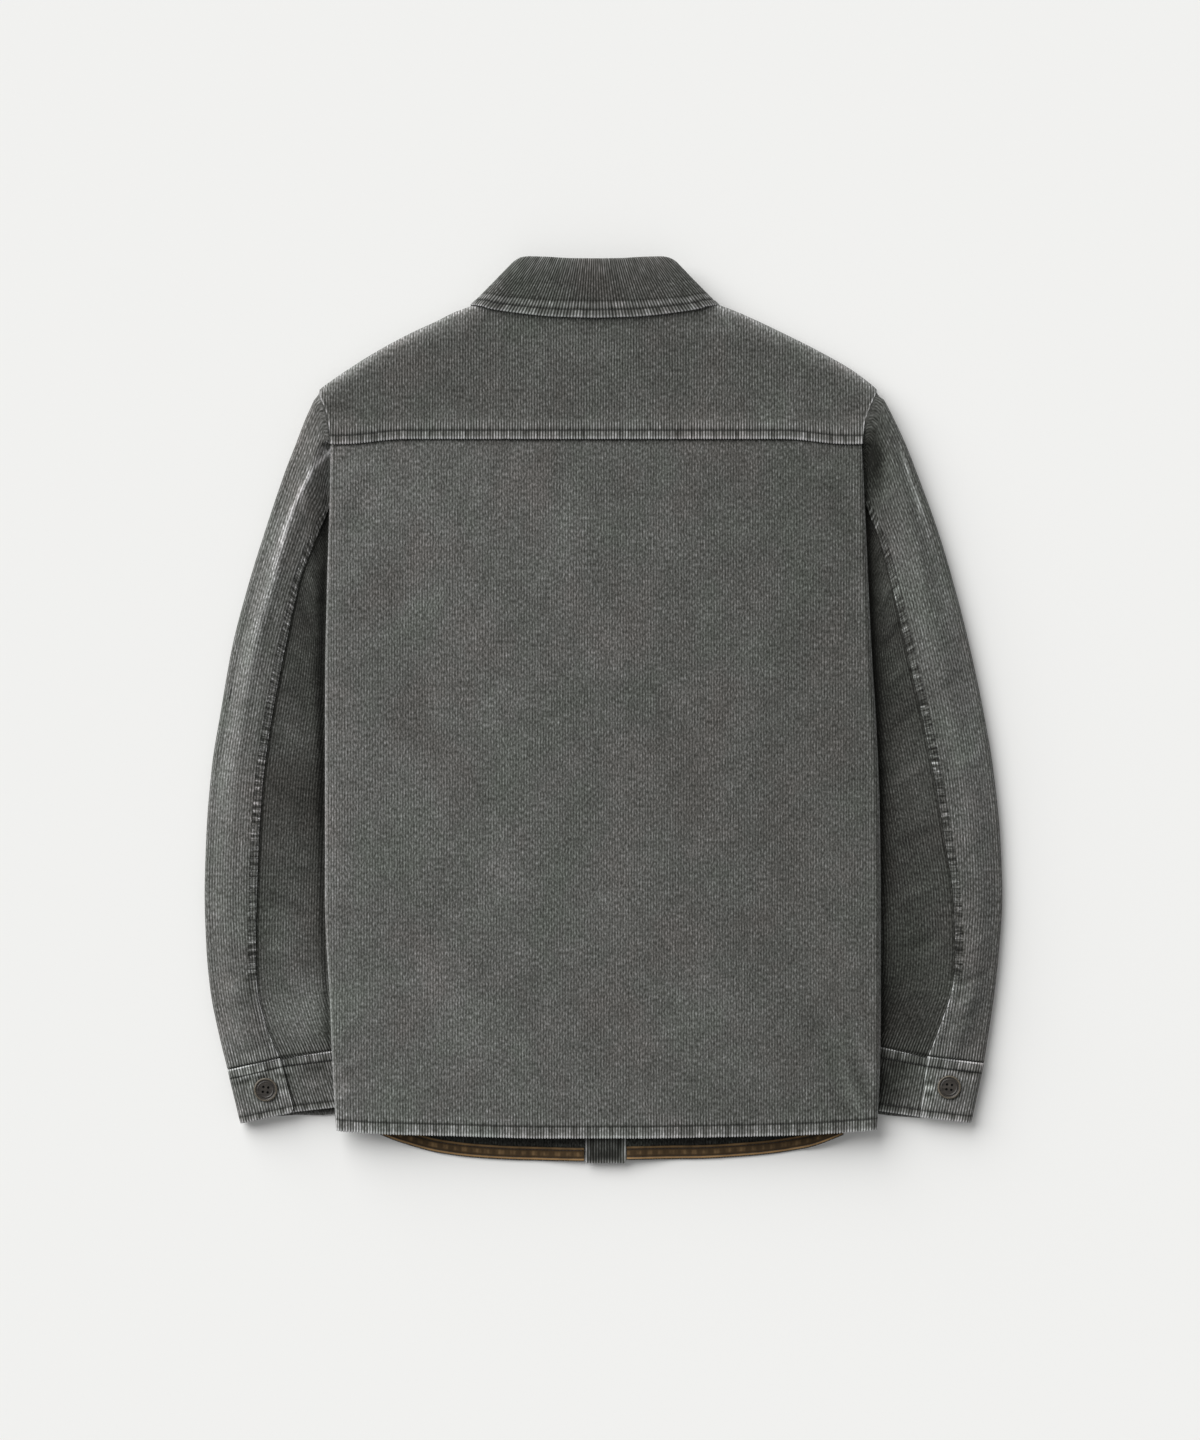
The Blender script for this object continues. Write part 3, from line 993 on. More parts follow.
def make_cuff(side):
    """Cuff with its button tab over the under end, topstitched at both edges."""
    s = settings()
    sign = sign_of(side)
    cuff = CUFFS[side]
    step = s.wale_pitch / s.wale_steps
    shares = CUFF_ROWS / CUFF_ROWS[-1]
    counts = [int(46 / step), int(21 / step), 26, int(15 / step), int(74 / step)]
    rows, tabs = [], []
    for share in shares:
        top = np.array([cuff.top_outer, cuff.top_tab, cuff.top_inner])
        low = np.array([cuff.low_outer, cuff.low_tab, cuff.low_inner])
        outer, tab, inner = top * (1 - share) + low * share
        corner = cuff_corner(share) if share > 0.9 and side == "left" else 0.0
        to_tab, to_inner = tab - outer, inner - tab
        long_tab, long_inner = np.linalg.norm(to_tab), np.linalg.norm(to_inner)
        total = long_tab + long_inner

        def plan(d):
            d = np.asarray(d, float)[:, None]
            near = outer + to_tab * d / long_tab
            return np.where(d <= long_tab, near, tab + to_inner * (d - long_tab) / long_inner)

        radius, tuck = CUFF_TOP / 2, TUCK_TOP / 2
        d0 = np.linspace(long_tab - corner, radius, counts[0])
        a1 = np.linspace(0, math.pi, counts[1] + 1)[1:]
        d2 = np.linspace(radius, total - tuck, counts[2])[1:]
        a3 = np.linspace(math.pi, 0, counts[3] + 1)[1:]
        d4 = np.linspace(total - tuck, long_tab - CUFF_LAP, counts[4])[1:]
        places = [d0, radius * (1 - np.sin(a1)), d2, total - tuck * (1 - np.sin(a3)), d4]
        heights = [
            np.full(len(d0), CUFF_TOP), radius + radius * np.cos(a1), np.zeros(len(d2)),
            tuck + tuck * np.cos(a3), np.full(len(d4), TUCK_TOP),
        ]
        d, z = np.concatenate(places), np.concatenate(heights)
        xy = plan(d)
        drop = cuff.under_drop * share * ease((d - 20) / 60) * ease((6 - z) / 5)
        rows.append(np.column_stack([xy[:, 0], xy[:, 1] - drop, z]))
        tabs.append(np.concatenate([long_tab - d0, np.full(len(d) - len(d0), FREE_EDGE)]))
    grid, from_tab = np.array(rows), np.array(tabs)
    x, y, z = grid[..., 0], grid[..., 1], grid[..., 2]
    down = CUFF_ROWS[:, None] + 0 * x
    up = CUFF_ROWS[-1] - down
    arc = arc_lengths(grid)
    rise_top, tone_top, contrast_top = seam_band(down, CUFF_TOP_BAND, arc, 3.1)
    rise_low, tone_low, contrast_low = seam_band(up, CUFF_LOW_BAND, arc, 5.9)
    on_top = ease((z - 8.0) / 2.0)
    button_off = np.hypot(x - cuff.button[0], y - cuff.button[1])
    folds = creased(x, y, CUFF_CREASES[side]) - 0.7 * hump(button_off, 8.5) + 0.4 * hump(button_off - 13, 3.5)
    tone = tone_top + tone_low + 0.75 * folds + 0.80 * hump(from_tab, 1.3) + 0.25 * hump(from_tab - 4, 4)
    tab_x = grid[:, :1, 0]
    beside = sign * (tab_x - x)
    tone = tone + 0.9 * hump(up, 1.4) * (z < 6.0)
    tone = tone - 0.7 * hump(np.maximum(beside, 0), 2.2) * (np.abs(z - TUCK_TOP) < 0.1)
    turn_column = counts[0] + counts[1] // 2
    u = (arc - arc[:, turn_column:turn_column + 1]) / s.wale_pitch
    tone = tone + patched(x, y, CUFF_PATCHES[side]) * on_top + 0.04
    contrast = 0.6 + contrast_top + contrast_low + 0.4 * hump(from_tab - 4, 8)
    z = z + (rise_top + rise_low + folds) * on_top
    cloth = Cloth(
        points_at(x, y, z), u, down, tone, contrast, s.wale_relief * (0.2 + 0.8 * on_top),
        DOUBLE_CLOTH, -sign, (3, 6),
    )
    piece = cloth_shell("cuff_panel_" + side, cloth, corduroy())
    lay_cloth(piece, "cuff_" + side)
    tab_end, under_start = counts[0], x.shape[1] - counts[4]
    lines = []
    for row in (3, 9, int(np.argmin(np.abs(CUFF_ROWS - CUFF_ROWS[-1] + CUFF_LOW_BAND)))):
        lines += [cloth.outer[row, 3:tab_end], cloth.outer[row, under_start:under_start + int(58 / step)]]
    stitch_rows("cuff_stitches_" + side, lines)


def collar_stations(step):
    """Fine stations round the collar from one front end to the other."""
    index = np.arange(len(COLLAR), dtype=float)
    fine = np.linspace(0, len(COLLAR) - 1, 400)
    col = {k: curve(index, [getattr(r, k) for r in COLLAR], fine) for k in CollarStation._fields}
    a = np.radians(col["turn"])
    x = (col["fold_x"] + col["edge_x"]) / 2 + COLLAR_TOP / 2 * np.sin(a)
    y = (col["fold_y"] + col["edge_y"]) / 2
    z = COLLAR_TOP / 2 * (1 + np.cos(a))
    length = np.concatenate([[0], np.cumsum(np.sqrt(np.diff(x) ** 2 + np.diff(y) ** 2 + np.diff(z) ** 2))])
    even = np.arange(0, length[-1], step)
    t = np.interp(np.append(even, length[-1]), length, fine)
    half = {k: curve(index, [getattr(r, k) for r in COLLAR], t) for k in CollarStation._fields}
    lengths = np.append(even, length[-1])
    both = {k: np.concatenate([v[:0:-1], v]) for k, v in half.items()}
    both["sign"] = np.concatenate([-np.ones(len(lengths) - 1), np.ones(len(lengths))])
    both["at"] = np.concatenate([-lengths[:0:-1], lengths])
    return both


def collar_lines(st):
    """Fold, edge and neck points with the facing of each station."""
    a = np.radians(st["turn"])
    facing = np.column_stack([st["sign"] * np.sin(a), np.zeros(len(a)), np.cos(a)])
    half = COLLAR_TOP / 2
    lines = []
    for key in ("fold", "edge", "neck"):
        x = COLLAR_CENTRE + st["sign"] * st[key + "_x"]
        lines.append(np.column_stack([x, st[key + "_y"], np.full(len(a), half)]) + half * facing)
    return facing, lines


def make_collar():
    """Fall with its topstitched edge and rolled fold, and the stand inside it."""
    s = settings()
    step = s.wale_pitch / s.wale_steps
    st = collar_stations(step)
    facing, (fold, edge, neck) = collar_lines(st)
    span = edge - fold
    length = np.linalg.norm(span, axis=1)[:, None]
    along = span / length
    roll, ply = COLLAR_ROLL, DOUBLE_CLOTH - 0.2
    from_edge = np.array([
        0, 0.5, 1.1, 2.0, 3.2, 4.6, 5.6, 6.2, 6.6, 7.0, 7.6, 8.6, 10, 12, 13.6, 14.6, 15.6, 17.5, 22, 28, 34,
    ])
    limit = length - roll
    d = np.maximum(length - from_edge[None, :] * np.minimum(1, limit / 37.0), roll)
    share = d / length
    droop = COLLAR_DROOP * share ** 2 * np.maximum(0, facing[:, 2:3])
    a = np.linspace(0, math.pi, 11)
    roll_d = np.repeat((roll - roll * np.sin(a))[None, :], len(length), axis=0)
    roll_h = np.repeat((roll - roll * np.cos(a))[None, :], len(length), axis=0)
    seam_d = np.full((len(length), 1), COLLAR_SEAM_AT)
    d_all = np.concatenate([d, roll_d, seam_d], axis=1)
    h_all = np.concatenate([droop, roll_h, np.full((len(length), 1), 2 * roll)], axis=1)
    grid = fold[:, None] + along[:, None] * d_all[..., None] - facing[:, None] * h_all[..., None]
    beyond = len(a) + 1
    distance = np.append(from_edge, np.full(beyond, 40.0))[None, :] + 0 * d_all
    from_front = (np.abs(st["at"]).max() - np.abs(st["at"]))[:, None]
    nearest = np.minimum(distance, from_front + 0.4)
    rise, tone, contrast = seam_band(nearest, COLLAR_BAND, st["at"][:, None], 2.6)
    x = grid[..., 0]
    back_side = ease((facing[:, 2:3] - 0.1) / 0.5)
    folds = 0.5 * hump(np.abs(st["at"][:, None]) - 74, 7) * hump(distance - 20, 13)
    folds = folds + 0.35 * ripple(x * 0.35, 1.1) * ease((distance - 8) / 10)
    tone = tone + 0.25 * hump(distance - 40, 3) - 0.30 + 0.08 * folds * back_side
    lift = (rise + folds * back_side) * ease((facing[:, 2:3] + 1.2) / 0.8)
    grid = grid + facing[:, None] * lift[..., None] * (h_all < roll)[..., None]
    girth = path_lengths(grid[:, 18])
    u = (girth - girth[-1] / 2)[:, None] / s.wale_pitch + 0 * distance
    contrast = contrast + 0.72 * back_side
    tone = tone * (0.35 + 0.65 * back_side)
    tone = tone + (0.3 * hump(distance, 1.1) + 0.22 * hump(distance - 3.0, 3.0)) * back_side
    second = hump(distance - COLLAR_BAND - 4.2, 3.4) * (1 - ease((distance - COLLAR_BAND - 7.2) / 1.2))
    worn = 0.75 + 0.5 * ripple(x * 1.1, 6.3)
    tone = tone + (0.62 * worn * second - 0.60 * hump(distance - COLLAR_BAND - 8.0, 0.9)) * back_side
    contrast = contrast + 0.5 * second * back_side
    tone = tone - 0.12 + 0.35 * (1 - back_side)
    relief = s.wale_relief * (0.25 + 0.75 * ease((facing[:, 2:3] + 0.9) / 0.6)) * (h_all < 2 * roll - 0.1)
    cloth = Cloth(grid, u, distance, tone, contrast, relief, ply, -1.0, (6, 3))
    piece = cloth_shell("collar_fall_panel", cloth, corduroy())
    lay_cloth(piece, "collar_fall")
    stitch_rows("collar_stitches", [grid[:, 8]])
    make_stand(st, facing, fold, neck)


def make_stand(st, facing, fold, neck):
    """Collar stand, its ends crossed at centre front."""
    s = settings()
    depth = 2 * COLLAR_ROLL - DOUBLE_CLOTH + 0.2
    lower = (st["sign"] > 0) * (st["turn"] > 179)
    rise = STAND_BUTTON_RISE * ease((64.0 - st["neck_x"]) / 34.0) * lower
    length = np.linalg.norm(neck - fold, axis=1)[:, None]
    along = (neck - fold) / length
    shares = np.array([0, 0.03, 0.12, 0.3, 0.5, 0.7, 0.88, 0.97, 1.0])[None, :]
    start = COLLAR_SEAM_AT + 1.4
    d = start + (length - start) * shares
    grid = fold[:, None] + along[:, None] * d[..., None] - (facing * (depth + rise)[:, None])[:, None]
    for way, level, first in ((1.0, depth, True), (-1.0, depth + STAND_BUTTON_RISE, False)):
        (tx, ty), (lx, ly) = STAND_END
        top = np.array([COLLAR_CENTRE + way * tx, ty, level])
        low = np.array([COLLAR_CENTRE + way * lx, ly, level])
        end = top + (low - top) * shares[0][:, None]
        border = grid[0] if first else grid[-1]
        extra = [end + (border - end) * k for k in np.linspace(0, 1, 30)[:-1]]
        extra = np.array(extra if first else extra[::-1])
        grid = np.concatenate([extra, grid]) if first else np.concatenate([grid, extra])
    count = len(grid)
    first, last = st["at"][0], st["at"][-1]
    before, after = np.linspace(first - 20, first, 30)[:-1], np.linspace(last, last + 20, 30)[1:]
    at = np.concatenate([before, st["at"], after])
    from_edge = np.repeat(((1 - shares) * 20.0), count, axis=0)
    tone, contrast = seam_band(from_edge, 2.5, at[:, None], 7.7)[1:]
    u = at[:, None] / s.wale_pitch + 0 * from_edge
    ply = DOUBLE_CLOTH - 0.4
    cloth = Cloth(grid, u, from_edge, tone * 0.6 - 0.1, contrast * 0.5, 0.15 + 0 * u, ply, -1.0, (6, 2))
    piece = cloth_shell("collar_stand_panel", cloth, corduroy())
    lay_cloth(piece, "collar_stand")


def front_rows(side):
    """Outer and inner boundary of a front panel at each of its levels."""
    sign = sign_of(side)
    seam = []
    ends = sorted([getattr(ARMHOLE[-1], side), COLLAR_CENTRE + sign * NECK_SIDE])
    for place in np.linspace(*ends, 30):
        share = shoulder_share(place)
        ridge = shoulder_ridge_y(place)
        y = ridge - (SHOULDER_TOP - float(wing_lift(place, ridge - 24.0))) / 2 * ROLL_REACH - 12.0
        at = min(y, ARMHOLE[-1].y)
        left, right = float(armhole_x("left", at)), float(armhole_x("right", at))
        seam.append((y - FORWARD_GAP, left + (right - left) * share))
    seam_y, seam_x = np.array(sorted(seam)).T
    neck = sorted((r.neck_y - FORWARD_GAP, r.neck_x + FORWARD_GAP) for r in COLLAR if r.turn == 180)
    neck_y, neck_x = np.array(neck).T
    low_y, high_y = seam_y[0], seam_y[-1]
    levels = np.concatenate([
        np.arange(-352, 10, 9.0), np.arange(10, 56, 3.5), np.arange(60, 196, 9.0),
        np.arange(200, low_y - 1, 4.0), [low_y], np.arange(low_y + 3, high_y - 1, 4.0), [high_y, 353, 356],
    ])
    rows = []
    for y in levels:
        outer = float(armhole_x(side, y)) - sign * LAY_GAP
        if y > low_y:
            outer = float(np.interp(y, seam_y, seam_x))
        if y >= high_y:
            outer = COLLAR_CENTRE + sign * (NECK_SIDE - NECK_GAP)
        inner = float(band_x(y)) + sign * (BAND_WIDTH / 2 + BAND_GAP)
        if y > neck_y[0]:
            inner = COLLAR_CENTRE + sign * float(np.interp(y, neck_y, neck_x))
        rows.append((y, outer, inner))
    return rows


def make_front(side):
    """Front panel with its curved, taped hem."""
    s = settings()
    sign = sign_of(side)
    rows = front_rows(side)
    hem_rises = [0, 0.5, 1.2, 3, 5.5, 8.5, 11.2, 11.8, 12.4, 14, 17]
    outer_at = float(side_seam_x(side, -369)) - sign * HALF_SEAM
    inner_at = float(band_x(-369)) + sign * (BAND_WIDTH / 2 + BAND_GAP)
    share = np.linspace(0, 1, 64)
    grid, hem_far = [], []
    for rise in hem_rises:
        x = outer_at + (inner_at - outer_at) * share
        y = profile(FRONT_HEM, x) + rise
        grid.append(np.column_stack([x, y, front_level(side, x, y)]))
        hem_far.append(np.full(len(x), rise))
    for level, outer, inner in rows:
        x = outer + (inner - outer) * share
        y = np.full_like(x, level)
        grid.append(np.column_stack([x, y, front_level(side, x, y)]))
        hem_far.append(np.full(len(x), 60.0))
    grid, hem_far = np.array(grid), np.array(hem_far)
    upper = grid + np.array([0, 0, CLOTH])
    tone, contrast = seam_band(hem_far, 11.8, grid[..., 0], 0.9)[1:]
    u = grid[..., 0] / s.wale_pitch
    tone = tone * 0.3 - 0.42 - 0.9 * hump(hem_far - 22.0, 11.0)
    inside = Cloth(upper, u, grid[..., 1], tone, contrast * 0.3 - 0.1, 0 * u, CLOTH, -sign, (1, 1))
    piece = cloth_shell("front_panel_" + side, inside, corduroy())
    lay_cloth(piece, "front_" + side)
    tape_rises = np.array([
        1.0, 1.4, 2.0, 2.6, 3.0, 3.4, 4.0, 5.2, 6.6, 8.0, 9.0, 9.4, 9.8, 10.4, 11.0, 11.6, 12.2,
    ])
    fine = np.linspace(0.004, 0.9985, 260)
    tape_rows = []
    for rise in tape_rises:
        x = outer_at + (inner_at - outer_at) * fine
        y = profile(FRONT_HEM, x) + rise
        wave = 0.14 * ripple(x * 0.9, 8.0) - 0.2 * (hump(rise - 3.2, 0.4) + hump(rise - 9.6, 0.4))
        tape_rows.append(np.column_stack([x, y, front_level(side, x, y) + CLOTH + 1.25 + wave]))
    tape_rows = np.array(tape_rows)
    along, at = arc_lengths(tape_rows), tape_rises[:, None]
    ribs = np.sin(along * 0.62 + 1.5 * ripple(along * 0.2, 3.0)) + 0.4 * np.sin(along * 1.9)
    tone = 1.25 * hump(at - 1.9, 0.9) + 0.6 * hump(at - 11.3, 0.7)
    tone = tone - 1.1 * hump(at - 3.4, 0.6) - 1.1 * hump(at - 9.6, 0.55)
    tone = tone + 0.30 * ribs * hump(at - 6.4, 2.4) + 0.06
    tape = Cloth(tape_rows, along, at + 0 * along, tone, 0 * along, 0 * along, TAPE, -sign, (2, 2))
    tape_piece = cloth_shell("hem_tape_strip_" + side, tape, hem_tape())
    lay_cloth(tape_piece, "hem_tape_" + side)
    stitch_rows("front_hem_stitches_" + side, [tape_rows[4, 1:-1], tape_rows[12, 1:-1]])


def make_band(side):
    """Centre front band: the outer placket, or the band that carries the buttons."""
    s = settings()
    level = PLACKET_LEVEL if side == "left" else BUTTON_BAND_LEVEL
    step = s.wale_pitch / s.wale_steps
    across = np.linspace(-BAND_WIDTH / 2, BAND_WIDTH / 2, int(BAND_WIDTH / step))
    low_rows = [BAND_HEM_Y, -398.6, -397.8, -396]
    rows = np.concatenate([low_rows, np.arange(-393, 262, 9.0), [266, 268.2, 269]])
    corner = np.interp(rows, low_rows, [2.4, 1.5, 0.7, 0.0])[:, None]
    x = band_x(rows)[:, None] + across[None, :] * (1 - 2 * corner / BAND_WIDTH)
    y = rows[:, None] + 0 * x
    from_side = BAND_WIDTH / 2 - np.abs(across)[None, :] + 0 * x
    nearest = np.minimum(from_side, rows[:, None] - BAND_HEM_Y)
    rise, tone, contrast = seam_band(nearest, 6.0, y + x * 0.4, 4.4)
    lower = side == "left"
    facing = -1.0 if lower else 1.0
    z = (level if lower else level + DOUBLE_CLOTH) + facing * 0.3 * rise
    tone = tone * 0.8 - 0.55 + 0.25 * hump(from_side, 3.0)
    cloth = Cloth(
        points_at(x, y, z), x / s.wale_pitch, y, tone, 1.5 + 0.5 * contrast, s.wale_relief + 0 * x,
        DOUBLE_CLOTH - 0.3, facing, (2, 6),
    )
    piece = cloth_shell("placket_panel_" + side, cloth, corduroy())
    lay_cloth(piece, "placket_" + side)


THREAD_LIFT = 0.05


def stitch_rows(name, lines):
    """Row of thread stitches pressed into the cloth along lines of points."""
    s = settings()
    pitch, half, thick = s.stitch_pitch, s.stitch_length / 2, s.thread_width / 2
    shape = [(-1.0, 0.45), (-0.6, 1.0), (0.6, 1.0), (1.0, 0.45)]
    points, faces = [], []
    for line in lines:
        length = path_lengths(line)
        places = np.arange(pitch / 2, length[-1], pitch)
        before, centre, ahead = (
            np.column_stack([np.interp(places + off, length, line[:, k]) for k in range(3)])
            for off in (-half, 0.0, half)
        )
        way = unit(ahead - before)
        aside = unit(np.cross(np.array([0.0, 0.0, 1.0]), way))
        over = np.cross(way, aside)
        for c, w, a, o in zip(centre, way, aside, over):
            base = len(points)
            for t, fat in shape:
                for k in range(6):
                    angle = math.pi / 3 * k
                    ring = a * math.cos(angle) + o * math.sin(angle)
                    points.append(c + o * THREAD_LIFT + w * half * t + ring * thick * fat)
            for r in range(3):
                for k in range(6):
                    m = (k + 1) % 6
                    start = base + r * 6
                    faces.append((start + k, start + m, start + 6 + m, start + 6 + k))
            for cap in ((3, 2, 1, 0), (0, 5, 4, 3), (18, 19, 20, 21), (21, 22, 23, 18)):
                faces.append(tuple(base + k for k in cap))
    points, faces = np.array(points), np.array(faces)
    piece = mesh_piece(name, points, [faces], points[:, :2] * 0.1, {}, thread())
    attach(piece, "root")


def thread():
    return bpy.data.materials.get("thread") or make_thread()


def socket_ready(name, roughness):
    """New node material with its shader and output, ready for a pattern."""
    material = bpy.data.materials.new(name)
    material.use_nodes = True
    tree = material.node_tree
    shader = tree.nodes["Principled BSDF"]
    shader.inputs["Roughness"].default_value = roughness
    return material, tree, shader


def add_node(tree, kind, **values):
    node = tree.nodes.new(kind)
    for key, value in values.items():
        if key.startswith("in_"):
            name = key[3:]
            node.inputs[int(name) if name.isdigit() else name].default_value = value
        else:
            setattr(node, key, value)
    return node


def maths(tree, operation, a, b=None, clamp=False):
    """Math node between sockets or numbers; gives its output."""
    node = add_node(tree, "ShaderNodeMath", operation=operation, use_clamp=clamp)
    for k, value in enumerate((a, b)):
        if value is None:
            continue
        if isinstance(value, (int, float)):
            node.inputs[k].default_value = value
        else:
            tree.links.new(value, node.inputs[k])
    return node.outputs[0]


def plus(tree, base, value, factor=None, clamp=False):
    """Adds a value to a base, times a factor where one is given."""
    if factor is not None:
        value = maths(tree, "MULTIPLY", value, factor)
    return maths(tree, "ADD", base, value, clamp)


def noise(tree, vector, stretch, detail, roughness=0.55):
    """Noise over a place, finer along an axis where its stretch is larger."""
    mapping = add_node(tree, "ShaderNodeMapping", in_Scale=stretch)
    tree.links.new(vector, mapping.inputs["Vector"])
    node = add_node(tree, "ShaderNodeTexNoise", in_Scale=1.0, in_Detail=detail, in_Roughness=roughness)
    tree.links.new(mapping.outputs[0], node.inputs["Vector"])
    return node.outputs["Fac"]


def centred_noise(tree, vector, stretch, detail, roughness=0.55, middle=0.5):
    return maths(tree, "SUBTRACT", noise(tree, vector, stretch, detail, roughness), middle)


def object_place(tree):
    return add_node(tree, "ShaderNodeTexCoord").outputs["Object"]


def wale_place(tree):
    """The piece's own UV place, and its two parts."""
    place = add_node(tree, "ShaderNodeUVMap", uv_map="wale").outputs[0]
    parts = add_node(tree, "ShaderNodeSeparateXYZ")
    tree.links.new(place, parts.inputs[0])
    return place, parts.outputs[0], parts.outputs[1]


def attribute(tree, name):
    return add_node(tree, "ShaderNodeAttribute", attribute_name=name).outputs["Fac"]


def bumped(tree, shader, height, strength, distance):
    """Fine relief on a finish."""
    bump = add_node(tree, "ShaderNodeBump", in_Strength=strength, in_Distance=distance)
    tree.links.new(height, bump.inputs["Height"])
    tree.links.new(bump.outputs[0], shader.inputs["Normal"])


def shades(colour, *factors):
    """Darker and paler versions of a colour."""
    return [tuple(min(1.0, c * factor) for c in colour) for factor in factors]


def ramp(tree, value, stops):
    node = add_node(tree, "ShaderNodeValToRGB")
    elements = node.color_ramp.elements
    while len(elements) < len(stops):
        elements.new(0.5)
    for element, (place, colour) in zip(elements, stops):
        element.position = place
        element.color = (*colour, 1.0)
    tree.links.new(value, node.inputs[0])
    return node.outputs[0]


def make_thread():
    """Matt cotton thread."""
    material, tree, shader = socket_ready("thread", 0.7)
    fibre = noise(tree, object_place(tree), (900, 900, 900), 3)
    dark, plain = shades(settings().thread_colour, 0.55, 1.0)
    tree.links.new(ramp(tree, fibre, [(0.3, dark), (0.75, plain)]), shader.inputs["Base Color"])
    bumped(tree, shader, fibre, 0.5, 0.0001)
    return material


def corduroy():
    """Washed corduroy: wales and nap from the piece's own UV, wear from its tone and contrast."""
    found = bpy.data.materials.get("washed_corduroy")
    if found:
        return found
    s = settings()
    material, tree, shader = socket_ready("washed_corduroy", 0.93)
    link = tree.links.new
    wale_uv, u = wale_place(tree)[:2]
    tone, contrast, pucker = (attribute(tree, name) for name in ("tone", "contrast", "pucker"))
    place = object_place(tree)
    wale = maths(tree, "COSINE", maths(tree, "MULTIPLY", u, 2 * math.pi))
    nap = centred_noise(tree, wale_uv, (1.4, 0.13, 1.0), 3, 0.6)
    speck = centred_noise(tree, wale_uv, (1.7, 0.34, 1.0), 1)
    bars = centred_noise(tree, wale_uv, (0.10, 0.30, 1.0), 2, 0.7, 0.52)
    cloud = centred_noise(tree, place, (26, 20, 26), 5, 0.62)
    blotch = centred_noise(tree, place, (110, 70, 110), 3, 0.6)
    depth = plus(tree, s.wale_contrast, contrast, s.band_contrast, clamp=True)
    uneven = plus(tree, 1.0, nap, 1.5)
    lines = maths(tree, "MULTIPLY", maths(tree, "MULTIPLY", wale, depth), uneven)
    light = plus(tree, lines, nap, s.streak_strength)
    calm = maths(tree, "SUBTRACT", 1.1, maths(tree, "MULTIPLY", contrast, 0.45), clamp=True)
    light = plus(tree, light, maths(tree, "MULTIPLY", speck, calm), s.speck_strength)
    light = plus(tree, light, maths(tree, "MULTIPLY", bars, pucker), s.pucker_strength)
    for value, factor in ((cloud, 0.8), (blotch, 0.7), (tone, 1.15)):
        light = plus(tree, light, value, factor)
    level = plus(tree, 0.5, light, 0.27, clamp=True)
    colours = (s.deep_colour, s.groove_colour, s.cloth_colour, s.wale_colour, s.faded_colour, s.worn_colour)
    grey = ramp(tree, level, [(at, tuple(c)) for at, c in zip((0.0, 0.28, 0.5, 0.70, 0.85, 1.0), colours)])
    tints = [(0.30, (0.97, 1.03, 0.98)), (0.5, (1.0, 1.0, 1.0)), (0.68, (1.04, 0.99, 0.99))]
    tint = ramp(tree, noise(tree, place, (16, 13, 16), 4, 0.6), tints)
    mix = add_node(tree, "ShaderNodeMix", data_type="RGBA", blend_type="MULTIPLY", in_0=1.0)
    link(grey, mix.inputs[6])
    link(tint, mix.inputs[7])
    link(mix.outputs[2], shader.inputs["Base Color"])
    fuzz = noise(tree, place, (2600, 2600, 2600), 3, 0.7)
    height = plus(tree, maths(tree, "MULTIPLY", wale, plus(tree, 0.5, nap, 0.5)), fuzz, 0.5)
    bumped(tree, shader, height, 0.6, 0.00022)
    shader.inputs["Sheen Weight"].default_value = 0.10
    shader.inputs["Sheen Roughness"].default_value = 0.5
    shader.inputs["Specular IOR Level"].default_value = 0.2
    return material


def hem_tape():
    """Tan cotton tape with a fine plain weave."""
    found = bpy.data.materials.get("cotton_tape")
    if found:
        return found
    material, tree, shader = socket_ready("cotton_tape", 0.88)
    along, across = wale_place(tree)[1:]
    warp = maths(tree, "SINE", maths(tree, "MULTIPLY", along, 2 * math.pi / 1.1))
    weft = maths(tree, "SINE", maths(tree, "MULTIPLY", across, 2 * math.pi / 0.9))
    weave = maths(tree, "MULTIPLY", warp, weft)
    cloud = centred_noise(tree, object_place(tree), (90, 90, 90), 4)
    light = plus(tree, maths(tree, "MULTIPLY", weave, 0.10), attribute(tree, "tone"), 0.42)
    level = plus(tree, 0.45, plus(tree, light, cloud, 0.6), clamp=True)
    dark, plain, pale = shades(settings().tape_colour, 0.45, 1.0, 5.0)
    colour = ramp(tree, level, [(0.0, dark), (0.45, plain), (1.0, pale)])
    tree.links.new(colour, shader.inputs["Base Color"])
    bumped(tree, shader, weave, 0.7, 0.00015)
    shader.inputs["Specular IOR Level"].default_value = 0.25
    return material


def button_finish():
    """Dark brown moulded button, a little streaked like horn."""
    material, tree, shader = socket_ready("dark_horn_button", 0.38)
    place = object_place(tree)
    streak = noise(tree, place, (160, 420, 160), 5, 0.6)
    dark, plain, pale = shades(settings().button_colour, 0.45, 1.0, 1.9)
    colour = ramp(tree, streak, [(0.3, dark), (0.52, plain), (0.78, pale)])
    tree.links.new(colour, shader.inputs["Base Color"])
    fine = noise(tree, place, (1800, 1800, 1800), 3)
    tree.links.new(plus(tree, 0.28, fine, 0.22), shader.inputs["Roughness"])
    bumped(tree, shader, fine, 0.15, 0.0001)
    return material


def button_rim():
    """Ring of the button, rubbed paler."""
    material, tree, shader = socket_ready("worn_button_rim", 0.34)
    wear = noise(tree, object_place(tree), (500, 500, 500), 4, 0.6)
    dark, pale = shades(settings().rim_colour, 0.45, 1.0)
    tree.links.new(ramp(tree, wear, [(0.32, dark), (0.62, pale)]), shader.inputs["Base Color"])
    return material


def button_hole():
    """Dark inside of a sewing hole."""
    material, tree, shader = socket_ready("dark_sewing_hole", 0.9)
    dust = noise(tree, object_place(tree), (900, 900, 900), 2)
    darks = [(0.3, (0.002, 0.002, 0.002)), (0.8, (0.006, 0.005, 0.004))]
    tree.links.new(ramp(tree, dust, darks), shader.inputs["Base Color"])
    return material


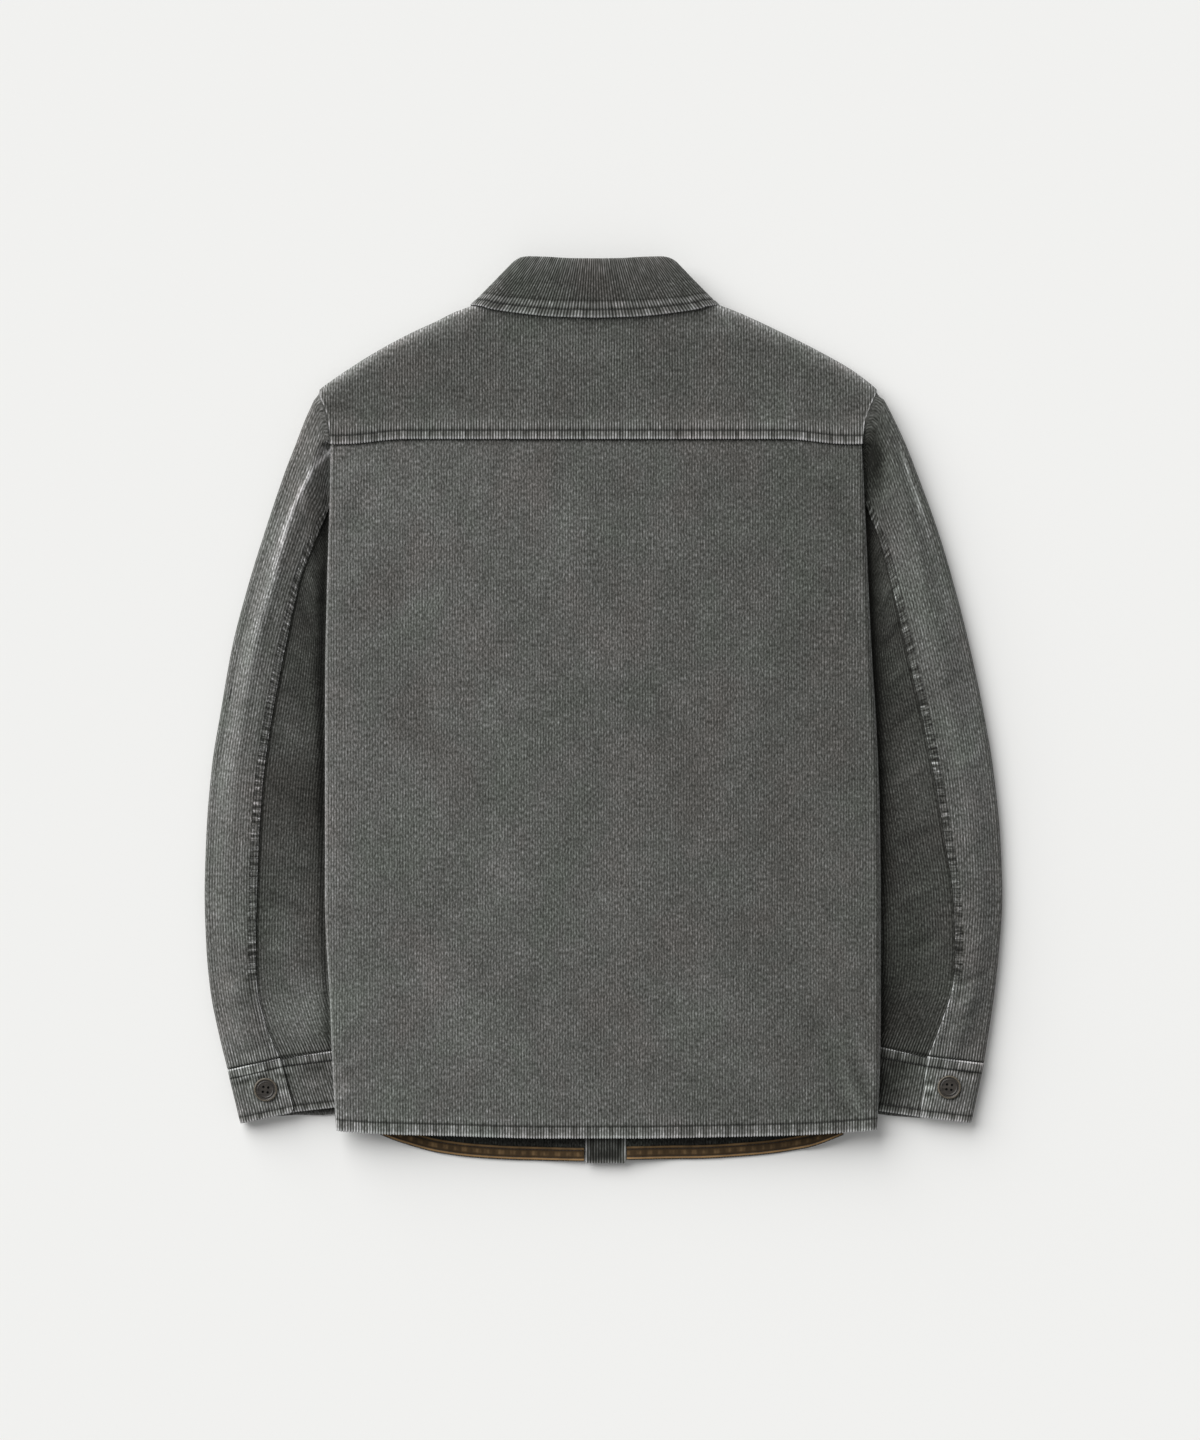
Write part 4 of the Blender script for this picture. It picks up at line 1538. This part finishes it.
# Turned face of a button from its rim inwards: each step in and its rise, in millimetres
BUTTON_PROFILE = (
    (0.5, 0.35), (0.9, 0.0), (0.45, -0.75), (0.9, -0.1), (0.35, 0.45), (0.45, 0.0), (0.4, -0.3), (0.8, -0.05),
)


# Button blank and the cutter of a sewing hole, in metres
BUTTON_RADIUS = 0.0103
BUTTON_BLANK_THICK = 0.0024
RIM_BEVEL = 0.00022
HOLE_RADIUS = 0.00115
HOLE_DEPTH = 0.0030
HOLE_LEVEL = 0.00085


def button_blank():
    """One button, modelled from a cylinder: dished face, raised rim and four sewing holes."""
    bpy.ops.object.select_all(action="DESELECT")
    bpy.ops.mesh.primitive_cylinder_add(
        vertices=64, radius=BUTTON_RADIUS, depth=BUTTON_BLANK_THICK, location=(0, 0, 0)
    )
    button = bpy.context.object
    bpy.ops.object.mode_set(mode="EDIT")
    bpy.ops.mesh.select_all(action="DESELECT")
    bpy.ops.object.mode_set(mode="OBJECT")
    for face in button.data.polygons:
        face.select = face.normal.z > 0.9
    bpy.ops.object.mode_set(mode="EDIT")
    bpy.ops.mesh.select_mode(type="FACE")
    for inset, rise in BUTTON_PROFILE:
        bpy.ops.mesh.inset(thickness=inset * MILLIMETRE, depth=0)
        bpy.ops.transform.translate(value=(0, 0, rise * MILLIMETRE))
    bpy.ops.mesh.select_all(action="DESELECT")
    bpy.ops.object.mode_set(mode="OBJECT")
    bevel = button.modifiers.new("rim", "BEVEL")
    bevel.width = RIM_BEVEL
    bevel.segments = 2
    bevel.limit_method = "ANGLE"
    bevel.angle_limit = math.radians(50)
    off = settings().button_hole_off * math.sqrt(2) * MILLIMETRE
    cutters = []
    for k in range(4):
        angle = math.radians(45 + 90 * k)
        place = (off * math.cos(angle), off * math.sin(angle), HOLE_LEVEL)
        bpy.ops.object.select_all(action="DESELECT")
        bpy.ops.mesh.primitive_cylinder_add(vertices=16, radius=HOLE_RADIUS, depth=HOLE_DEPTH, location=place)
        cutters.append(bpy.context.object)
    bpy.ops.object.select_all(action="DESELECT")
    bpy.context.view_layer.objects.active = button
    button.select_set(True)
    bpy.ops.object.modifier_apply(modifier="rim")
    for cutter in cutters:
        hole = button.modifiers.new("hole", "BOOLEAN")
        hole.operation = "DIFFERENCE"
        hole.object = cutter
        bpy.ops.object.modifier_apply(modifier="hole")
        bpy.data.objects.remove(cutter)
    bpy.ops.object.shade_smooth_by_angle(angle=math.radians(35))
    finish_button(button)
    return button


def finish_button(button):
    """Gives the worn rims and the sewing holes their own finishes."""
    for finish in (button_finish(), button_rim(), button_hole()):
        button.data.materials.append(finish)
    hole = settings().button_hole_off * math.sqrt(2)
    for face in button.data.polygons:
        x, y, z = (c / MILLIMETRE for c in face.center)
        radius = math.hypot(x, y)
        near_hole = abs(radius - hole) < 1.4 and abs(abs(x) - abs(y)) < 1.9 and radius < 4.6
        if near_hole and -1.0 < z < 0.72 and (abs(face.normal.z) < 0.5 or z < 0.2):
            face.material_index = 2
        elif z > 0.9 and 9.0 < radius < 10.4:
            face.material_index = 1


def place_button(blank, name, place, face_up, node):
    """Copy of the button with its own mesh, laid at its place."""
    bpy.ops.object.select_all(action="DESELECT")
    piece = blank.copy()
    piece.data = blank.data.copy()
    piece.name = piece.data.name = name
    bpy.context.scene.collection.objects.link(piece)
    piece.rotation_euler = (0 if face_up else math.pi, 0, 0.12 * math.sin(place[0] + place[1]))
    piece.location = [c * MILLIMETRE for c in place]
    piece.select_set(True)
    bpy.context.view_layer.objects.active = piece
    bpy.ops.object.transform_apply(location=True, rotation=True, scale=True)
    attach(piece, "root")
    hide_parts(node)


def make_buttons():
    """Buttons of the cuffs, the collar stand and the front band."""
    blank = button_blank()
    for side in SIDES:
        x, y = CUFFS[side].button
        place_button(blank, "cuff_button_face_" + side, (x, y, CUFF_TOP + 1.5), True, "cuff_button_" + side)
    lows = [FRONT_BUTTON_TOP - FRONT_BUTTON_SPACE * k for k in range(6)]
    places = [(COLLAR_CENTRE, STAND_BUTTON_Y, 2.4)] + [(float(band_x(y)), y, 1.4) for y in lows]
    for k, place in enumerate(places):
        number = str(k + 1)
        place_button(blank, "front_button_face_" + number, place, False, "front_button_" + number)
    bpy.data.objects.remove(blank)


# Stage, in metres
FLOOR_SIZE = 6.0
FLOOR_LEVEL = -0.0004
LIGHT_PLACE = (-2.0, 2.15, 1.75)
FRAME_WIDE = 1.2672
SENSOR_MM = 36.0
CAMERA_AIM = (-0.0026, -0.0084, 0.012)
CLIP_END = 20


def make_stage():
    """Pale floor, soft light from the upper left and the camera straight above."""
    s = settings()
    bpy.ops.object.select_all(action="DESELECT")
    bpy.ops.mesh.primitive_plane_add(size=FLOOR_SIZE, location=(0, 0, FLOOR_LEVEL))
    floor = bpy.context.object
    floor.name = "studio_floor"
    material, _, shader = socket_ready("pale_floor", 0.9)
    shader.inputs["Base Color"].default_value = (*s.floor_colour, 1.0)
    shader.inputs["Specular IOR Level"].default_value = 0.1
    floor.data.materials.append(material)
    scene = bpy.context.scene
    scene.view_settings.view_transform = "Standard"
    world = bpy.data.worlds.new("studio")
    scene.world = world
    world.use_nodes = True
    background = world.node_tree.nodes["Background"]
    background.inputs["Color"].default_value = (1.0, 1.0, 1.0, 1.0)
    background.inputs["Strength"].default_value = s.ambient
    data = bpy.data.lights.new("soft_key_light", "SUN")
    data.angle = s.key_softness
    data.energy = s.key_power
    light = bpy.data.objects.new("soft_key_light", data)
    scene.collection.objects.link(light)
    light.location = LIGHT_PLACE
    light.rotation_euler = direction_angles(-np.array(light.location) / np.linalg.norm(light.location))
    data = bpy.data.cameras.new("camera_above")
    camera = bpy.data.objects.new("camera_above", data)
    scene.collection.objects.link(camera)
    data.sensor_width = SENSOR_MM
    data.lens = s.camera_lens
    x, y, level = CAMERA_AIM
    camera.location = (x, y, FRAME_WIDE * s.camera_lens / SENSOR_MM + level)
    data.clip_end = CLIP_END
    scene.camera = camera


def direction_angles(direction):
    """Rotation that points a light's -Z along a direction."""
    x, y, z = direction
    tilt = math.acos(max(-1.0, min(1.0, -z)))
    return (tilt, 0.0, math.atan2(y, x) - math.pi / 2)


def number(name, description, default, **more):
    return bpy.props.FloatProperty(name=name, description=description, default=default, **more)


def colour(name, description, default):
    return bpy.props.FloatVectorProperty(
        name=name, description=description, default=default, subtype="COLOR", size=3
    )


class OvershirtSettings(bpy.types.PropertyGroup):
    """Sizes and colours of the overshirt"""

    wale_pitch: number("Wale Pitch", "Distance between wales, in millimetres", 2.42, min=1.0)
    wale_steps: number("Wale Steps", "Mesh columns for each wale", 4.0, min=2.0)
    wale_relief: number("Wale Relief", "Height of the wales, in millimetres", 0.30)
    sleeve_steps: number("Sleeve Steps", "Mesh columns for each wale of a sleeve", 5.0, min=2.0)
    sleeve_step: number("Sleeve Step", "Distance between mesh rows along a sleeve, in millimetres", 2.8)
    stitch_pitch: number("Stitch Pitch", "Distance between stitches, in millimetres", 3.1)
    stitch_length: number("Stitch Length", "Length of a stitch, in millimetres", 2.3)
    thread_width: number("Thread Width", "Width of the thread, in millimetres", 0.5)
    button_hole_off: number("Hole Offset", "Sewing hole to the middle, each way, in millimetres", 2.15)
    wale_contrast: number("Wale Contrast", "Contrast of the wales on plain cloth", 0.18)
    streak_strength: number("Streak Strength", "Long faded streaks along the wales", 0.9)
    speck_strength: number("Speck Strength", "Fine broken pile", 3.4)
    pucker_strength: number("Pucker Strength", "Light and dark bars across a puckered seam", 7.5)
    band_contrast: number("Band Contrast", "Added contrast of the wales on worn seams", 0.9)
    deep_colour: colour("Deep Colour", "Deepest creases", (0.010, 0.010, 0.008))
    groove_colour: colour("Groove Colour", "Grooves between wales", (0.042, 0.0425, 0.0375))
    cloth_colour: colour("Cloth Colour", "Plain cloth", (0.0908, 0.0920, 0.0848))
    wale_colour: colour("Wale Colour", "Faded tops of the wales", (0.185, 0.186, 0.178))
    faded_colour: colour("Faded Colour", "Faded crests and edges", (0.30, 0.30, 0.295))
    worn_colour: colour("Worn Colour", "Cloth worn pale on seams", (0.56, 0.56, 0.56))
    thread_colour: colour("Thread Colour", "Topstitching", (0.035, 0.035, 0.037))
    tape_colour: colour("Tape Colour", "Tape inside the front hem", (0.074, 0.046, 0.021))
    button_colour: colour("Button Colour", "Buttons", (0.036, 0.031, 0.026))
    rim_colour: colour("Rim Colour", "Rubbed rims of the buttons", (0.135, 0.115, 0.085))
    floor_colour: colour("Floor Colour", "Studio floor", (0.905, 0.905, 0.89))
    ambient: number("Ambient", "Strength of the even light", 0.32)
    key_power: number("Key Power", "Strength of the main light", 4.0)
    key_softness: number("Key Softness", "Width of the main light", 1.1, subtype="ANGLE")
    camera_lens: number("Lens", "Focal length", 100.0, subtype="DISTANCE_CAMERA")


class OVERSHIRT_OT_back(bpy.types.Operator):
    """Make the back panel"""

    bl_idname = "overshirt.back"
    bl_label = "Back Panel"

    def execute(self, context):
        make_back()
        return {"FINISHED"}


class OVERSHIRT_OT_yoke(bpy.types.Operator):
    """Make the yoke"""

    bl_idname = "overshirt.yoke"
    bl_label = "Yoke"

    def execute(self, context):
        make_yoke()
        return {"FINISHED"}


class OVERSHIRT_OT_fronts(bpy.types.Operator):
    """Make the front panels, their taped hems and the centre bands"""

    bl_idname = "overshirt.fronts"
    bl_label = "Fronts and Bands"

    def execute(self, context):
        for side in SIDES:
            make_front(side)
            make_band(side)
        return {"FINISHED"}


class OVERSHIRT_OT_sleeves(bpy.types.Operator):
    """Make the two-piece sleeves"""

    bl_idname = "overshirt.sleeves"
    bl_label = "Sleeves"

    def execute(self, context):
        for side in SIDES:
            make_sleeve(side)
        return {"FINISHED"}


class OVERSHIRT_OT_cuffs(bpy.types.Operator):
    """Make the cuffs"""

    bl_idname = "overshirt.cuffs"
    bl_label = "Cuffs"

    def execute(self, context):
        for side in SIDES:
            make_cuff(side)
        return {"FINISHED"}


class OVERSHIRT_OT_collar(bpy.types.Operator):
    """Make the collar's fall and stand"""

    bl_idname = "overshirt.collar"
    bl_label = "Collar"

    def execute(self, context):
        make_collar()
        return {"FINISHED"}


class OVERSHIRT_OT_buttons(bpy.types.Operator):
    """Make the buttons"""

    bl_idname = "overshirt.buttons"
    bl_label = "Buttons"

    def execute(self, context):
        make_buttons()
        return {"FINISHED"}


class OVERSHIRT_OT_stage(bpy.types.Operator):
    """Make the floor, the lights and the camera"""

    bl_idname = "overshirt.stage"
    bl_label = "Stage"

    def execute(self, context):
        make_stage()
        return {"FINISHED"}


class OVERSHIRT_PT_panel(bpy.types.Panel):
    """Lists the overshirt's sizes, colours and pieces"""

    bl_idname = "OVERSHIRT_PT_panel"
    bl_label = "Overshirt"
    bl_space_type = "VIEW_3D"
    bl_region_type = "UI"
    bl_category = "Overshirt"

    def draw(self, context):
        for name in OvershirtSettings.__annotations__:
            self.layout.prop(context.scene.overshirt, name)
        for operator in OPERATORS:
            self.layout.operator(operator.bl_idname)


OPERATORS = (
    OVERSHIRT_OT_back, OVERSHIRT_OT_yoke, OVERSHIRT_OT_fronts, OVERSHIRT_OT_sleeves, OVERSHIRT_OT_cuffs,
    OVERSHIRT_OT_collar, OVERSHIRT_OT_buttons, OVERSHIRT_OT_stage,
)
CLASSES = (OvershirtSettings, *OPERATORS, OVERSHIRT_PT_panel)


def register():
    for cls in CLASSES:
        bpy.utils.register_class(cls)
    bpy.types.Scene.overshirt = bpy.props.PointerProperty(type=OvershirtSettings)


def unregister():
    del bpy.types.Scene.overshirt
    for cls in reversed(CLASSES):
        bpy.utils.unregister_class(cls)


def main():
    register()
    bpy.ops.overshirt.stage()
    bpy.ops.overshirt.back()
    bpy.ops.overshirt.yoke()
    bpy.ops.overshirt.fronts()
    bpy.ops.overshirt.sleeves()
    bpy.ops.overshirt.cuffs()
    bpy.ops.overshirt.collar()
    bpy.ops.overshirt.buttons()


if __name__ == "__main__":
    main()
